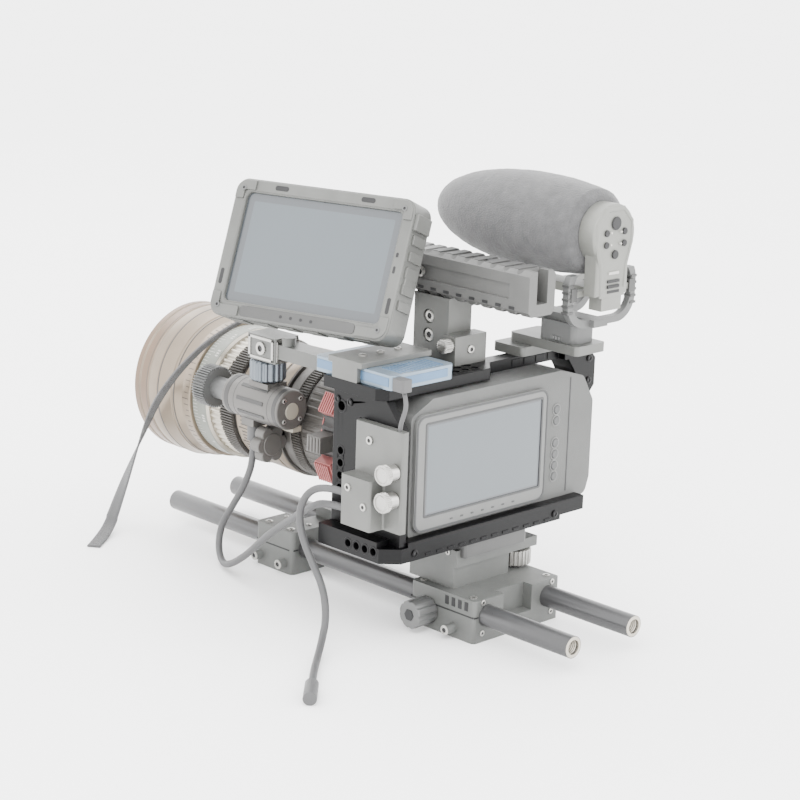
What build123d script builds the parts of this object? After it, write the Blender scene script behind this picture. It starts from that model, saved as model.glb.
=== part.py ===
from build123d import *
import math
import os

# Cinema camera rig: camera in a cage, cine lens with focus motor, top handle, field monitor,
# shotgun microphone, solid-state drive and a 15 mm rod baseplate.  Millimetres, +Z up.
# +Y is where the lens looks, +X is the operator's right seen from behind.
# The origin is the tripod socket, in the underside of the baseplate, below the lens axis.

# ---- driving dimensions -------------------------------------------------------------------
AXIS_Z = 110.0              # height of the lens axis
ROD_R = 7.5                 # 15 mm rods, 60 mm apart
ROD_X = 30.0
ROD_Z = 18.4
ROD_Y0, ROD_Y1 = -103.0, 303.0
RUN = 0.06                  # radial clearance of a running or sliding fit
SOCKET_R = 3.175            # quarter-inch thread
TAPPED_R = 2.6              # small tapped accessory hole

BASE_X, BASE_Y0, BASE_Y1, BASE_TOP = 42.0, -26.0, 34.0, 30.0
SHELF_Z, PLATE_Z0, CAGE_Z0, BODY_Z0 = 45.0, 52.1, 62.0, 72.0
PLATE_HALF = 30.0           # half width of the sliding plate

BODY_X0, BODY_X1 = -78.0, 101.0
BODY_Y0, BODY_SPLIT, BODY_Y1, GRIP_Y1 = 3.0, 26.0, 62.0, 84.0
WALL = 3.0
LCD_X, LCD_Z = -10.7, 119.0
LCD_W, LCD_H = 110.7, 62.3
BUTTON_X, BUTTON_R = 62.8, 3.0
BUTTON_Z = [139.0, 131.0, 115.0, 107.0, 98.8, 91.0]

CAGE_TOP_Z0, CAGE_TOP_Z1 = 168.0, 176.0
CAGE_SIDE_X0, CAGE_SIDE_X1 = -92.0, -86.0
RAIL_X0 = -103.0

FOCUS_Y0, GEAR_Y1, FOCUS_Y1 = 219.0, 233.0, 262.0
FOCUS_GEAR_R, MOTOR_GEAR_R = 47.0, 15.0
MOTOR_ANGLE = 162.0         # direction of the motor from the lens axis
MESH_GAP = 0.1
LENS_FRONT_R, LENS_Y1 = 57.0, 322.0

HANDLE_Z0, HANDLE_Z1, HANDLE_HALF = 220.0, 250.0, 12.5
HANDLE_Y0, HANDLE_Y1 = -35.0, 105.0

MON_W, MON_H, MON_T = 141.0, 95.5, 22.0
MON_CENTRE = (-81.9, 98.3, 246.4)
MON_YAW, MON_TILT = -75.0, 22.0
MON_PIVOT = 34.0            # tilt axis this far behind the screen

MIC_X, MIC_Z = 66.0, 267.0

os.makedirs("parts", exist_ok=True)


def save(builder, label):
    builder.part.label = label
    export_step(builder.part, f"parts/{label}.step")


def block(x0, x1, y0, y1, z0, z1, mode=Mode.ADD):
    with Locations(((x0 + x1) / 2, (y0 + y1) / 2, (z0 + z1) / 2)):
        return Box(x1 - x0, y1 - y0, z1 - z0, mode=mode)


def bar_x(y, z, x0, x1, radius, mode=Mode.ADD):
    with Locations(Location(((x0 + x1) / 2, y, z), (0, 90, 0))):
        return Cylinder(radius, abs(x1 - x0), mode=mode)


def bar_y(x, z, y0, y1, radius, mode=Mode.ADD):
    with Locations(Location((x, (y0 + y1) / 2, z), (90, 0, 0))):
        return Cylinder(radius, y1 - y0, mode=mode)


def bar_z(x, y, z0, z1, radius, mode=Mode.ADD):
    with Locations((x, y, (z0 + z1) / 2)):
        return Cylinder(radius, z1 - z0, mode=mode)


def lens_ring(y0, y1, outer, inner):
    bar_y(0, AXIS_Z, y0, y1, outer)
    bar_y(0, AXIS_Z, y0 - 1, y1 + 1, inner, mode=Mode.SUBTRACT)


def upright(part, size):
    """Rounds a part's vertical edges."""
    fillet(part.edges().filter_by(Axis.Z), size)


# ---- baseplate ----------------------------------------------------------------------------
KNOB_Y, KNOB_Z = 17.0, 13.2
WHEEL_X, WHEEL_Y = 36.0, 12.0
with BuildPart() as base_block:
    block(-BASE_X, BASE_X, BASE_Y0, BASE_Y1, 0, BASE_TOP)
    upright(base_block, 3)
    block(-34, 20, 2, 44, BASE_TOP, SHELF_Z)
    block(-34, 46, 0, 44, SHELF_Z, PLATE_Z0 - 0.1)
    for side in (-1, 1):
        inner = side * (PLATE_HALF + RUN)
        block(min(inner, side * 34), max(inner, side * 34), 0, 44, PLATE_Z0 - 0.1, 57)
        bar_y(side * ROD_X, ROD_Z, BASE_Y0 - 1, BASE_Y1 + 1, ROD_R + RUN, mode=Mode.SUBTRACT)
    block(-14, 14, BASE_Y0 - 1, BASE_Y0 + 8, 12, BASE_TOP + 1, mode=Mode.SUBTRACT)
    bar_z(0, 0, -1, 9, SOCKET_R, mode=Mode.SUBTRACT)
    bar_x(KNOB_Y, KNOB_Z, -BASE_X - 1, -BASE_X + 1.6, 3 + RUN, mode=Mode.SUBTRACT)
    bar_z(WHEEL_X, WHEEL_Y, SHELF_Z - 1, 50, 3 + RUN, mode=Mode.SUBTRACT)
    bar_x(-7, 7, -50, -BASE_X, 3.4)
save(base_block, "base_block")

with BuildPart() as base_lock_wheel:
    bar_z(WHEEL_X, WHEEL_Y, 31, 43.5, 12)
    fillet(base_lock_wheel.edges().filter_by(GeomType.CIRCLE), 1)
    bar_z(WHEEL_X, WHEEL_Y, 43.5, 49.5, 3)
    with Locations((WHEEL_X, WHEEL_Y, 37)):
        with PolarLocations(12.6, 10):
            Cylinder(1.6, 14, mode=Mode.SUBTRACT)
save(base_lock_wheel, "base_lock_wheel")

with BuildPart() as base_knob:
    bar_x(KNOB_Y, KNOB_Z, -60, -BASE_X - 0.4, 9.8)
    fillet(base_knob.edges().filter_by(GeomType.CIRCLE), 1)
    bar_x(KNOB_Y, KNOB_Z, -BASE_X - 0.5, -BASE_X + 1.4, 3)
    with Locations(Location((-52, KNOB_Y, KNOB_Z), (0, 90, 0))):
        with PolarLocations(11.2, 8):
            Cylinder(2.4, 20, mode=Mode.SUBTRACT)
save(base_knob, "base_knob")

with BuildPart() as slide_plate:
    block(-PLATE_HALF, PLATE_HALF, -4, 50, PLATE_Z0, CAGE_Z0)
    upright(slide_plate, 2)
save(slide_plate, "slide_plate")

for label, side in (("rod_left", -1), ("rod_right", 1)):
    with BuildPart() as rod:
        bar_y(side * ROD_X, ROD_Z, ROD_Y0, ROD_Y1, ROD_R)
        bar_y(side * ROD_X, ROD_Z, ROD_Y0 - 1, ROD_Y0 + 14, 5, mode=Mode.SUBTRACT)
        bar_y(side * ROD_X, ROD_Z, ROD_Y1 - 14, ROD_Y1 + 1, 5, mode=Mode.SUBTRACT)
    save(rod, label)

CLAMP_Y0, CLAMP_Y1, CLAMP_TOP = 154.0, 194.0, 32.0
with BuildPart() as front_rod_clamp:
    block(-44, 44, CLAMP_Y0, CLAMP_Y1, 0, CLAMP_TOP)
    upright(front_rod_clamp, 4)
    block(-15, 15, CLAMP_Y0 - 1, CLAMP_Y1 + 1, 24, CLAMP_TOP + 1, mode=Mode.SUBTRACT)
    block(-12, 12, CLAMP_Y0 - 1, CLAMP_Y1 + 1, -1, 6, mode=Mode.SUBTRACT)
    for side in (-1, 1):
        bar_y(side * ROD_X, ROD_Z, CLAMP_Y0 - 1, CLAMP_Y1 + 1, ROD_R + RUN, mode=Mode.SUBTRACT)
    for y in (CLAMP_Y0 + 8, CLAMP_Y1 - 6):
        bar_x(y, 8, -50, -44, 3.4)
save(front_rod_clamp, "front_rod_clamp")

# ---- cage ---------------------------------------------------------------------------------
RAIL_HOLE_Y = [9.0, 17.0, 25.0, 33.0]
with BuildPart() as cage_bottom:
    with BuildSketch(Plane.XY.offset(CAGE_Z0)):
        with BuildLine():
            Polyline((-92, -6), (62, -6), (62, 62), (-103, 62), (-103, 4), (-92, -6))
        make_face()
    extrude(amount=BODY_Z0 - CAGE_Z0)
    block(62, 86, -6, 50, CAGE_Z0 + 3, BODY_Z0)
    block(CAGE_SIDE_X1, 86, -6, BODY_Y0 - 0.5, BODY_Z0, BODY_Z0 + 3)
    block(RAIL_X0, CAGE_SIDE_X0, 6, 62, BODY_Z0, 76)
    for y in RAIL_HOLE_Y:
        bar_x(y, 69, RAIL_X0 - 1, RAIL_X0 + 7, TAPPED_R, mode=Mode.SUBTRACT)
    block(-58, -40, 6, 44, CAGE_Z0 - 1, BODY_Z0 + 1, mode=Mode.SUBTRACT)
    block(38, 56, 6, 44, CAGE_Z0 - 1, BODY_Z0 + 1, mode=Mode.SUBTRACT)
save(cage_bottom, "cage_bottom")

with BuildPart() as cage_side:
    with BuildSketch(Plane.YZ.offset(CAGE_SIDE_X0)):
        with BuildLine():
            Polyline((-4, 72), (62, 72), (62, 168), (12, 168), (-4, 150), (-4, 72))
        make_face()
        with BuildLine():
            Polyline((8, 82), (36, 82), (36, 152), (17, 152), (8, 142), (8, 82))
        make_face(mode=Mode.SUBTRACT)
    extrude(amount=CAGE_SIDE_X1 - CAGE_SIDE_X0)
    for z in (100, 108.5, 117, 125.5):
        bar_x(54, z, CAGE_SIDE_X0 - 1, CAGE_SIDE_X1 + 1, TAPPED_R, mode=Mode.SUBTRACT)
    bar_x(54, 156, CAGE_SIDE_X0 - 1, CAGE_SIDE_X1 + 1, 3.2, mode=Mode.SUBTRACT)
save(cage_side, "cage_side")

TOP_HOLE_X = [-24.0, -15.0, -6.0]
TOP_HOLE_Y = [17.0, 24.0]
with BuildPart() as cage_top:
    with BuildSketch(Plane.XY.offset(CAGE_TOP_Z0)):
        with BuildLine():
            Polyline((-98, 16), (-92, 10), (2, 10), (14, 22), (90, 22), (90, 34), (22, 34),
                     (22, 66), (-98, 66), (-98, 16))
        make_face()
    extrude(amount=CAGE_TOP_Z1 - CAGE_TOP_Z0)
    for x in TOP_HOLE_X:
        for y in TOP_HOLE_Y:
            bar_z(x, y, CAGE_TOP_Z0 - 1, CAGE_TOP_Z1 + 1, TAPPED_R, mode=Mode.SUBTRACT)
    with BuildSketch(Plane.XZ.offset(-36)):
        with BuildLine():
            Polyline((84, 168), (84, 177), (106, 177), (117, 166), (117, 146), (108, 136), (102.4, 136),
                     (102.4, 145), (94, 160), (88, 168), (84, 168))
        make_face()
    extrude(amount=20)
save(cage_top, "cage_top")

# ---- camera body --------------------------------------------------------------------------
BODY_OUTLINE = [(BODY_X0, BODY_Z0), (97, BODY_Z0), (BODY_X1, 84), (BODY_X1, 140), (90, 159),
                (66, 166), (-58, 166), (BODY_X0, 156)]


def body_slab(y0, y1, inset=0.0, mode=Mode.ADD):
    """The camera's outline seen from behind, from y0 to y1, drawn in by inset."""
    with BuildSketch(Plane.XZ.offset(-y1)) as outline:
        with BuildLine():
            Polyline(*BODY_OUTLINE, close=True)
        make_face()
        fillet(outline.vertices(), 6)
        if inset:
            offset(amount=-inset, mode=Mode.REPLACE)
    return extrude(outline.sketch, amount=y1 - y0, mode=mode)


with BuildPart() as camera_rear_shell:
    body_slab(BODY_Y0, BODY_SPLIT)
    body_slab(BODY_Y0 + WALL, BODY_SPLIT + 1, WALL, mode=Mode.SUBTRACT)
    for z in BUTTON_Z:
        bar_y(BUTTON_X, z, BODY_Y0 - 1, BODY_Y0 + WALL + 1, BUTTON_R + 0.15, mode=Mode.SUBTRACT)
save(camera_rear_shell, "camera_rear_shell")

GRIP = (66, BODY_X1, BODY_Y1, GRIP_Y1, 80, 146)
RECORD = (84.0, 74.0)
with BuildPart() as camera_front_shell:
    body_slab(BODY_SPLIT, BODY_Y1)
    with BuildSketch(Plane.XY.offset(GRIP[4])) as grip_plan:
        with Locations(((GRIP[0] + GRIP[1]) / 2, (BODY_Y1 - 8 + GRIP_Y1) / 2)):
            RectangleRounded(GRIP[1] - GRIP[0], GRIP_Y1 - BODY_Y1 + 8, 9)
    extrude(amount=GRIP[5] - GRIP[4])
    body_slab(BODY_SPLIT - 1, BODY_Y1 - WALL, WALL, mode=Mode.SUBTRACT)
    block(GRIP[0] + 4, GRIP[1] - 4, BODY_Y1 - WALL - 1, GRIP_Y1 - WALL, 84, 138, mode=Mode.SUBTRACT)
    bar_y(0, AXIS_Z, BODY_Y1 - WALL - 1, BODY_Y1 + 1, 30, mode=Mode.SUBTRACT)
    bar_z(*RECORD, 142, 148, 5 + 0.15, mode=Mode.SUBTRACT)
save(camera_front_shell, "camera_front_shell")

with BuildPart() as record_button:
    bar_z(*RECORD, 143.2, 147.5, 5)
save(record_button, "record_button")

with BuildPart() as lcd_bezel:
    block(LCD_X - 65, LCD_X + 62, 0, BODY_Y0, LCD_Z - 42, LCD_Z + 38)
    fillet(lcd_bezel.edges().filter_by(Axis.Y), 8)
    block(LCD_X - LCD_W / 2, LCD_X + LCD_W / 2, -1, 1.5, LCD_Z - LCD_H / 2, LCD_Z + LCD_H / 2,
          mode=Mode.SUBTRACT)
save(lcd_bezel, "lcd_bezel")

with BuildPart() as lcd_glass:
    block(LCD_X - LCD_W / 2, LCD_X + LCD_W / 2, 0.4, 1.5, LCD_Z - LCD_H / 2, LCD_Z + LCD_H / 2)
save(lcd_glass, "lcd_glass")

for index, z in enumerate(BUTTON_Z, start=1):
    with BuildPart() as rear_button:
        bar_y(BUTTON_X, z, 1.8, 7.5, BUTTON_R)
        bar_y(BUTTON_X, z, BODY_Y0 + WALL + 0.4, 7.5, BUTTON_R + 0.7)
    save(rear_button, f"rear_button_{index}")

with BuildPart() as image_sensor:
    block(-34, 34, 40, 42, AXIS_Z - 22, AXIS_Z + 22)
    block(-12, 12, 42, 44.5, AXIS_Z - 8, AXIS_Z + 8)
    for x in (-29, 29):
        for z in (AXIS_Z - 18, AXIS_Z + 18):
            bar_y(x, z, 42, BODY_Y1 - WALL, 2.5)
save(image_sensor, "image_sensor")

with BuildPart() as battery:
    block(GRIP[0] + 5, GRIP[1] - 5, 34, GRIP_Y1 - WALL, 84, 137)
save(battery, "battery")

# ---- lens ---------------------------------------------------------------------------------
with BuildPart() as lens_mount:
    lens_ring(BODY_Y1, 66, 36, 26)
save(lens_mount, "lens_mount")

with BuildPart() as lens_adapter:
    lens_ring(66, 104, 44, 26)
    block(-9, 9, 72, 98, AXIS_Z - 56, AXIS_Z - 42)
    chamfer(lens_adapter.faces().sort_by(Axis.Y)[0].outer_wire().edges(), 3)
save(lens_adapter, "lens_adapter")

TAB_ANGLES = [150.0, 202.0]
with BuildPart() as locking_ring:
    lens_ring(104.3, 121.7, 49, 34 + RUN)
    for angle in TAB_ANGLES:
        direction = Vector(math.cos(math.radians(angle)), 0, math.sin(math.radians(angle)))
        with Locations(Location(Vector(0, 113, AXIS_Z) + direction * 52, (0, -angle, 0))):
            Box(12, 15, 16)
save(locking_ring, "locking_ring")

with BuildPart() as lens_barrel:
    with BuildSketch(Plane.YZ) as barrel_half:
        with BuildLine():
            Polyline((104, AXIS_Z + 24), (104, AXIS_Z + 34), (122, AXIS_Z + 34), (122, AXIS_Z + 43),
                     (148, AXIS_Z + 43), (148, AXIS_Z + 38), (168.4, AXIS_Z + 38),
                     (168.4, AXIS_Z + 46), (FOCUS_Y0, AXIS_Z + 44.5), (FOCUS_Y0, AXIS_Z + 41),
                     (290, AXIS_Z + 41), (290, AXIS_Z + 36), (140, AXIS_Z + 24), (104, AXIS_Z + 24))
        make_face()
    revolve(axis=Axis((0, 0, AXIS_Z), (0, 1, 0)))
save(lens_barrel, "lens_barrel")

with BuildPart() as iris_ring:
    lens_ring(148.3, 168.1, 44, 38 + RUN)
    bar_x(158, AXIS_Z, -49, -42, 2.2)
save(iris_ring, "iris_ring")

with BuildPart() as focus_ring:
    bar_y(0, AXIS_Z, FOCUS_Y0 + 0.3, GEAR_Y1, FOCUS_GEAR_R)
    bar_y(0, AXIS_Z, GEAR_Y1, 246, 46)
    bar_y(0, AXIS_Z, 246, FOCUS_Y1 - 0.3, 49.5)
    bar_y(0, AXIS_Z, FOCUS_Y0, FOCUS_Y1, 41 + RUN, mode=Mode.SUBTRACT)
save(focus_ring, "focus_ring")

with BuildPart() as lens_front_barrel:
    with BuildSketch(Plane.YZ) as front_half:
        with BuildLine():
            Polyline((FOCUS_Y1, AXIS_Z + 41), (FOCUS_Y1, AXIS_Z + 52), (272, AXIS_Z + 52),
                     (276, AXIS_Z + 54), (292, LENS_FRONT_R + AXIS_Z),
                     (LENS_Y1, LENS_FRONT_R + AXIS_Z), (LENS_Y1, AXIS_Z + 53), (300, AXIS_Z + 53),
                     (300, AXIS_Z + 46), (290, AXIS_Z + 46), (290, AXIS_Z + 41),
                     (FOCUS_Y1, AXIS_Z + 41))
        make_face()
    revolve(axis=Axis((0, 0, AXIS_Z), (0, 1, 0)))
save(lens_front_barrel, "lens_front_barrel")

ELEMENT_CROWN, ELEMENT_SPHERE = 299.0, 140.0
with BuildPart() as lens_elements:
    bar_y(0, AXIS_Z, 290, ELEMENT_CROWN, 46)
    with Locations((0, ELEMENT_CROWN - ELEMENT_SPHERE, AXIS_Z)):
        Sphere(ELEMENT_SPHERE, mode=Mode.INTERSECT)
    for y, thickness in ((106, 5), (120, 4), (132, 6)):
        bar_y(0, AXIS_Z, y, y + thickness, 24)
save(lens_elements, "lens_elements")

# ---- focus motor --------------------------------------------------------------------------
motor_distance = FOCUS_GEAR_R + MOTOR_GEAR_R + MESH_GAP
MOTOR_X = motor_distance * math.cos(math.radians(MOTOR_ANGLE))
MOTOR_Z = AXIS_Z + motor_distance * math.sin(math.radians(MOTOR_ANGLE))
MOTOR_Y0, MOTOR_Y1 = 140.0, 200.0
STEM_Y = 166.0
with BuildPart() as motor_body:
    bar_y(MOTOR_X, MOTOR_Z, MOTOR_Y0, MOTOR_Y1, 14.5)
    fillet(motor_body.edges().filter_by(GeomType.CIRCLE), 1.5)
    bar_y(MOTOR_X, MOTOR_Z, 190, MOTOR_Y1 + 1, 3 + RUN, mode=Mode.SUBTRACT)
    block(MOTOR_X - 9, MOTOR_X + 9, STEM_Y - 10, STEM_Y + 10, MOTOR_Z + 8, MOTOR_Z + 16)
    block(MOTOR_X - 6, MOTOR_X + 6, 174, 187, MOTOR_Z - 19, MOTOR_Z - 12)
save(motor_body, "motor_body")

with BuildPart() as motor_gear:
    bar_y(MOTOR_X, MOTOR_Z, FOCUS_Y0 + 0.6, GEAR_Y1 - 0.4, MOTOR_GEAR_R)
    bar_y(MOTOR_X, MOTOR_Z, 190.5, FOCUS_Y0 + 1, 3)
    bar_y(MOTOR_X, MOTOR_Z, MOTOR_Y1 + 1, FOCUS_Y0 + 1, 8)
save(motor_gear, "motor_gear")

ARM_Z0 = 162.0
with BuildPart() as motor_arm:
    block(MOTOR_X - 11, MOTOR_X + 11, 146, 176, ARM_Z0, 180)
    upright(motor_arm, 1.5)
    block(MOTOR_X - 9, MOTOR_X + 9, 66, 148, 166, 176)
    bar_z(MOTOR_X, STEM_Y, MOTOR_Z + 16, ARM_Z0 + 1, 5)
    bar_z(MOTOR_X - 4, 140, 176, 182, 5)
save(motor_arm, "motor_arm")

with BuildPart() as motor_knob:
    bar_z(MOTOR_X, STEM_Y, MOTOR_Z + 16.4, ARM_Z0 - 0.4, 13)
    fillet(motor_knob.edges().filter_by(GeomType.CIRCLE), 0.8)
    bar_z(MOTOR_X, STEM_Y, MOTOR_Z + 15, ARM_Z0 + 1, 5 + RUN, mode=Mode.SUBTRACT)
    with Locations((MOTOR_X, STEM_Y, (MOTOR_Z + 16 + ARM_Z0) / 2)):
        with PolarLocations(14, 14):
            Cylinder(1.8, 20, mode=Mode.SUBTRACT)
save(motor_knob, "motor_knob")

# ---- top handle ---------------------------------------------------------------------------
with BuildPart() as handle_grip:
    block(-HANDLE_HALF, HANDLE_HALF, HANDLE_Y0, HANDLE_Y1, HANDLE_Z0, HANDLE_Z1)
    chamfer(handle_grip.edges().filter_by(Axis.Y), 3)
    for side in (-1, 1):
        outer = side * HANDLE_HALF
        block(min(outer - side * 1.5, outer + side), max(outer - side * 1.5, outer + side),
              HANDLE_Y0 + 18, 80, 230, 240, mode=Mode.SUBTRACT)
    for y in range(-24, 78, 12):
        for z in (HANDLE_Z0, HANDLE_Z1):
            bar_x(y, z, -HANDLE_HALF - 1, HANDLE_HALF + 1, 2.6, mode=Mode.SUBTRACT)
    block(-5, 5, HANDLE_Y0 - 1, HANDLE_Y0 + 9, 228, HANDLE_Z1 + 1, mode=Mode.SUBTRACT)
save(handle_grip, "handle_grip")

with BuildPart() as handle_post:
    block(-11, 11, 38, 71, CAGE_TOP_Z1, HANDLE_Z0)
    block(-15, 15, 27, 39, CAGE_TOP_Z1, 196)
    for z in (192, 205):
        bar_x(57, z, -12, -9, 5, mode=Mode.SUBTRACT)
    bar_x(32, 190, -16, -10, 2.5 + RUN, mode=Mode.SUBTRACT)
save(handle_post, "handle_post")

with BuildPart() as clamp_knob:
    bar_x(32, 190, -23, -15.3, 5)
    bar_x(32, 190, -15.4, -10.3, 2.5)
save(clamp_knob, "clamp_knob")

# ---- field monitor ------------------------------------------------------------------------
yaw, tilt = math.radians(MON_YAW), math.radians(MON_TILT)
mon_right = Vector(math.cos(yaw), math.sin(yaw), 0)
mon_out = Vector(math.sin(yaw) * math.cos(tilt), -math.cos(yaw) * math.cos(tilt), math.sin(tilt))
SCREEN_PLANE = Plane(origin=MON_CENTRE, x_dir=mon_right, z_dir=mon_out)
pivot = Vector(*MON_CENTRE) - mon_out * MON_PIVOT
PIVOT_PLANE = Plane(origin=pivot, x_dir=mon_right, z_dir=mon_out)
ARM_TOP = 214.0
print("tilt axis point", pivot, "direction", mon_right)

with BuildPart() as monitor_body:
    with BuildSketch(SCREEN_PLANE.offset(-MON_T + 5)):
        RectangleRounded(MON_W - 13, MON_H - 13, 4)
    extrude(amount=MON_T - 8)
save(monitor_body, "monitor_body")

EAR_IN, EAR_OUT = 10.3, 14.3
with BuildPart() as monitor_cage:
    with BuildSketch(SCREEN_PLANE.offset(-MON_T)):
        RectangleRounded(MON_W, MON_H, 9)
    extrude(amount=MON_T)
    with BuildSketch(SCREEN_PLANE.offset(-MON_T + 5)):
        RectangleRounded(MON_W - 13, MON_H - 13, 4)
    extrude(amount=MON_T - 8, mode=Mode.SUBTRACT)
    with BuildSketch(SCREEN_PLANE.offset(-4)):
        with Locations((0, 1)):
            RectangleRounded(MON_W - 18, MON_H - 20, 4)
    extrude(amount=5, mode=Mode.SUBTRACT)
    for side in (-1, 1):
        with BuildSketch(Plane(origin=pivot + mon_right * (side * (EAR_IN + EAR_OUT) / 2),
                               x_dir=mon_out, z_dir=mon_right)):
            with Locations((3, 0)):
                Rectangle(18, 12)
        extrude(amount=(EAR_OUT - EAR_IN) / 2, both=True)
    with BuildSketch(Plane(origin=pivot, x_dir=mon_out, z_dir=mon_right)):
        Circle(3)
    extrude(amount=EAR_OUT, both=True)
save(monitor_cage, "monitor_cage")

with BuildPart() as monitor_yoke:
    with BuildSketch(Plane(origin=pivot, x_dir=mon_out, z_dir=mon_right)):
        Circle(6)
    extrude(amount=EAR_IN - 0.3, both=True)
    bar_z(pivot.X, pivot.Y, ARM_TOP + 0.3, ARM_TOP + 5, 10)
    bar_z(pivot.X, pivot.Y, ARM_TOP + 4, pivot.Z, 4.5)
    with BuildSketch(Plane(origin=pivot, x_dir=mon_out, z_dir=mon_right)):
        Circle(3 + RUN)
    extrude(amount=EAR_IN + 1, both=True, mode=Mode.SUBTRACT)
    bar_z(pivot.X, pivot.Y, ARM_TOP - 6, ARM_TOP + 1, 3)
save(monitor_yoke, "monitor_yoke")

with BuildPart() as monitor_arm:
    block(pivot.X - 11, -HANDLE_HALF, pivot.Y - 11, pivot.Y + 11, ARM_TOP - 8, ARM_TOP)
    block(-19, -HANDLE_HALF, 82, 105, ARM_TOP - 8, 246)
    bar_z(pivot.X, pivot.Y, ARM_TOP - 6.5, ARM_TOP + 1, 3 + RUN, mode=Mode.SUBTRACT)
save(monitor_arm, "monitor_arm")

# ---- solid-state drive --------------------------------------------------------------------
SSD = (-94.5, -37.5, 5.0, 79.0, CAGE_TOP_Z1, CAGE_TOP_Z1 + 10)
with BuildPart() as ssd_body:
    block(*SSD)
    fillet(ssd_body.edges().filter_by(Axis.Z), 4)
save(ssd_body, "ssd_body")

with BuildPart() as ssd_clamp:
    block(SSD[0] - 3.5, SSD[1] + 3.5, 30, 62, SSD[5], SSD[5] + 4)
    block(SSD[0] - 3.5, SSD[0], 34, 58, CAGE_TOP_Z1, SSD[5])
    block(SSD[1], SSD[1] + 3.5, 34, 58, CAGE_TOP_Z1, SSD[5])
save(ssd_clamp, "ssd_clamp")

# ---- cable clamp --------------------------------------------------------------------------
SCREW_Y, SCREW_Z = -4.0, [125.0, 106.5]
PORT_Z = 92.0
with BuildPart() as cable_clamp:
    block(-98, CAGE_SIDE_X0, -10, 34, 84, 152)
    block(-110, -98, 6, 34, 84, 118)
    upright(cable_clamp, 1.5)
    for z in SCREW_Z:
        bar_x(SCREW_Y, z, -99, -93, 2.5 + RUN, mode=Mode.SUBTRACT)
    bar_z(-95, -4, 146, 153, 1.7, mode=Mode.SUBTRACT)
save(cable_clamp, "cable_clamp")

for label, z in zip(("thumbscrew_upper", "thumbscrew_lower"), SCREW_Z):
    with BuildPart() as thumbscrew:
        bar_x(SCREW_Y, z, -111, -106, 6.8)
        bar_x(SCREW_Y, z, -106, -98.3, 5.6)
        bar_x(SCREW_Y, z, -98.4, -93.3, 2.5)
    save(thumbscrew, label)

# ---- microphone ---------------------------------------------------------------------------
SHOE_Z = 189.0
with BuildPart() as shoe_extension:
    block(42, 82, 18, 46, CAGE_TOP_Z1, 182.5)
    block(52, 82, -22, 40, 182.5, SHOE_Z)
    upright(shoe_extension, 3)
save(shoe_extension, "shoe_extension")

LYRE_X, LYRE_HALF, LYRE_BOTTOM = 70.5, 34.5, 203.0
LYRE_Y = [-26.0, 12.0]
with BuildPart() as mic_lyre:
    block(MIC_X - 11, MIC_X + 11, -16, 16, SHOE_Z, LYRE_BOTTOM)
    upright(mic_lyre, 4)
    block(MIC_X - 7, MIC_X + 7, -30, 18, LYRE_BOTTOM, LYRE_BOTTOM + 5)
    for y in LYRE_Y:
        with BuildSketch(Plane.XZ.offset(-y - 5)):
            with Locations((LYRE_X, 226)):
                RectangleRounded(2 * LYRE_HALF, 46, 18)
                RectangleRounded(2 * LYRE_HALF - 10, 36, 14, mode=Mode.SUBTRACT)
            with Locations((LYRE_X, 246)):
                Rectangle(2 * LYRE_HALF + 2, 12, mode=Mode.SUBTRACT)
        extrude(amount=5)
save(mic_lyre, "mic_lyre")

with BuildPart() as mic_body:
    bar_y(MIC_X, MIC_Z, -38, -24.5, 21)
    block(MIC_X - 16, MIC_X + 16, -38, -27, 226, MIC_Z)
    fillet(mic_body.faces().sort_by(Axis.Y)[0].edges(), 2)
    bar_y(MIC_X, MIC_Z, -25, 100, 10)
    block(MIC_X - 10, MIC_X + 10, -38, -27, 216, 228)
    block(MIC_X - 9, MIC_X + 9, -28, 20, 224, 230)
    for y in LYRE_Y:
        block(LYRE_X - LYRE_HALF + 5, LYRE_X + LYRE_HALF - 5, y, y + 5, 225, 229)
save(mic_body, "mic_body")

FOAM_WIDEST, FOAM_R, FOAM_TAIL = 28.0, 33.0, 134.0
FOAM_FRONT, FOAM_REAR = 94.0, 75.0
FOAM_NOSE = 5.0             # the arc stops short of the axis, leaving a small flat nose
nose_y = FOAM_WIDEST + FOAM_FRONT * math.cos(math.radians(FOAM_NOSE))
nose_z = MIC_Z + FOAM_R * math.sin(math.radians(FOAM_NOSE))
tail_y = FOAM_WIDEST + FOAM_REAR * math.cos(math.radians(FOAM_TAIL))
tail_z = MIC_Z + FOAM_R * math.sin(math.radians(FOAM_TAIL))
with BuildPart() as mic_windshield:
    with BuildSketch(Plane.YZ.offset(MIC_X)):
        with BuildLine():
            EllipticalCenterArc((FOAM_WIDEST, MIC_Z), FOAM_FRONT, FOAM_R, start_angle=FOAM_NOSE,
                                arc_size=90 - FOAM_NOSE)
            EllipticalCenterArc((FOAM_WIDEST, MIC_Z), FOAM_REAR, FOAM_R, start_angle=90,
                                arc_size=FOAM_TAIL - 90)
            Polyline((tail_y, tail_z), (tail_y, MIC_Z), (nose_y, MIC_Z), (nose_y, nose_z))
        make_face()
    revolve(axis=Axis((MIC_X, 0, MIC_Z), (0, 1, 0)))
    bar_y(MIC_X, MIC_Z, tail_y - 2, 100.5, 10.1, mode=Mode.SUBTRACT)
save(mic_windshield, "mic_windshield")

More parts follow.
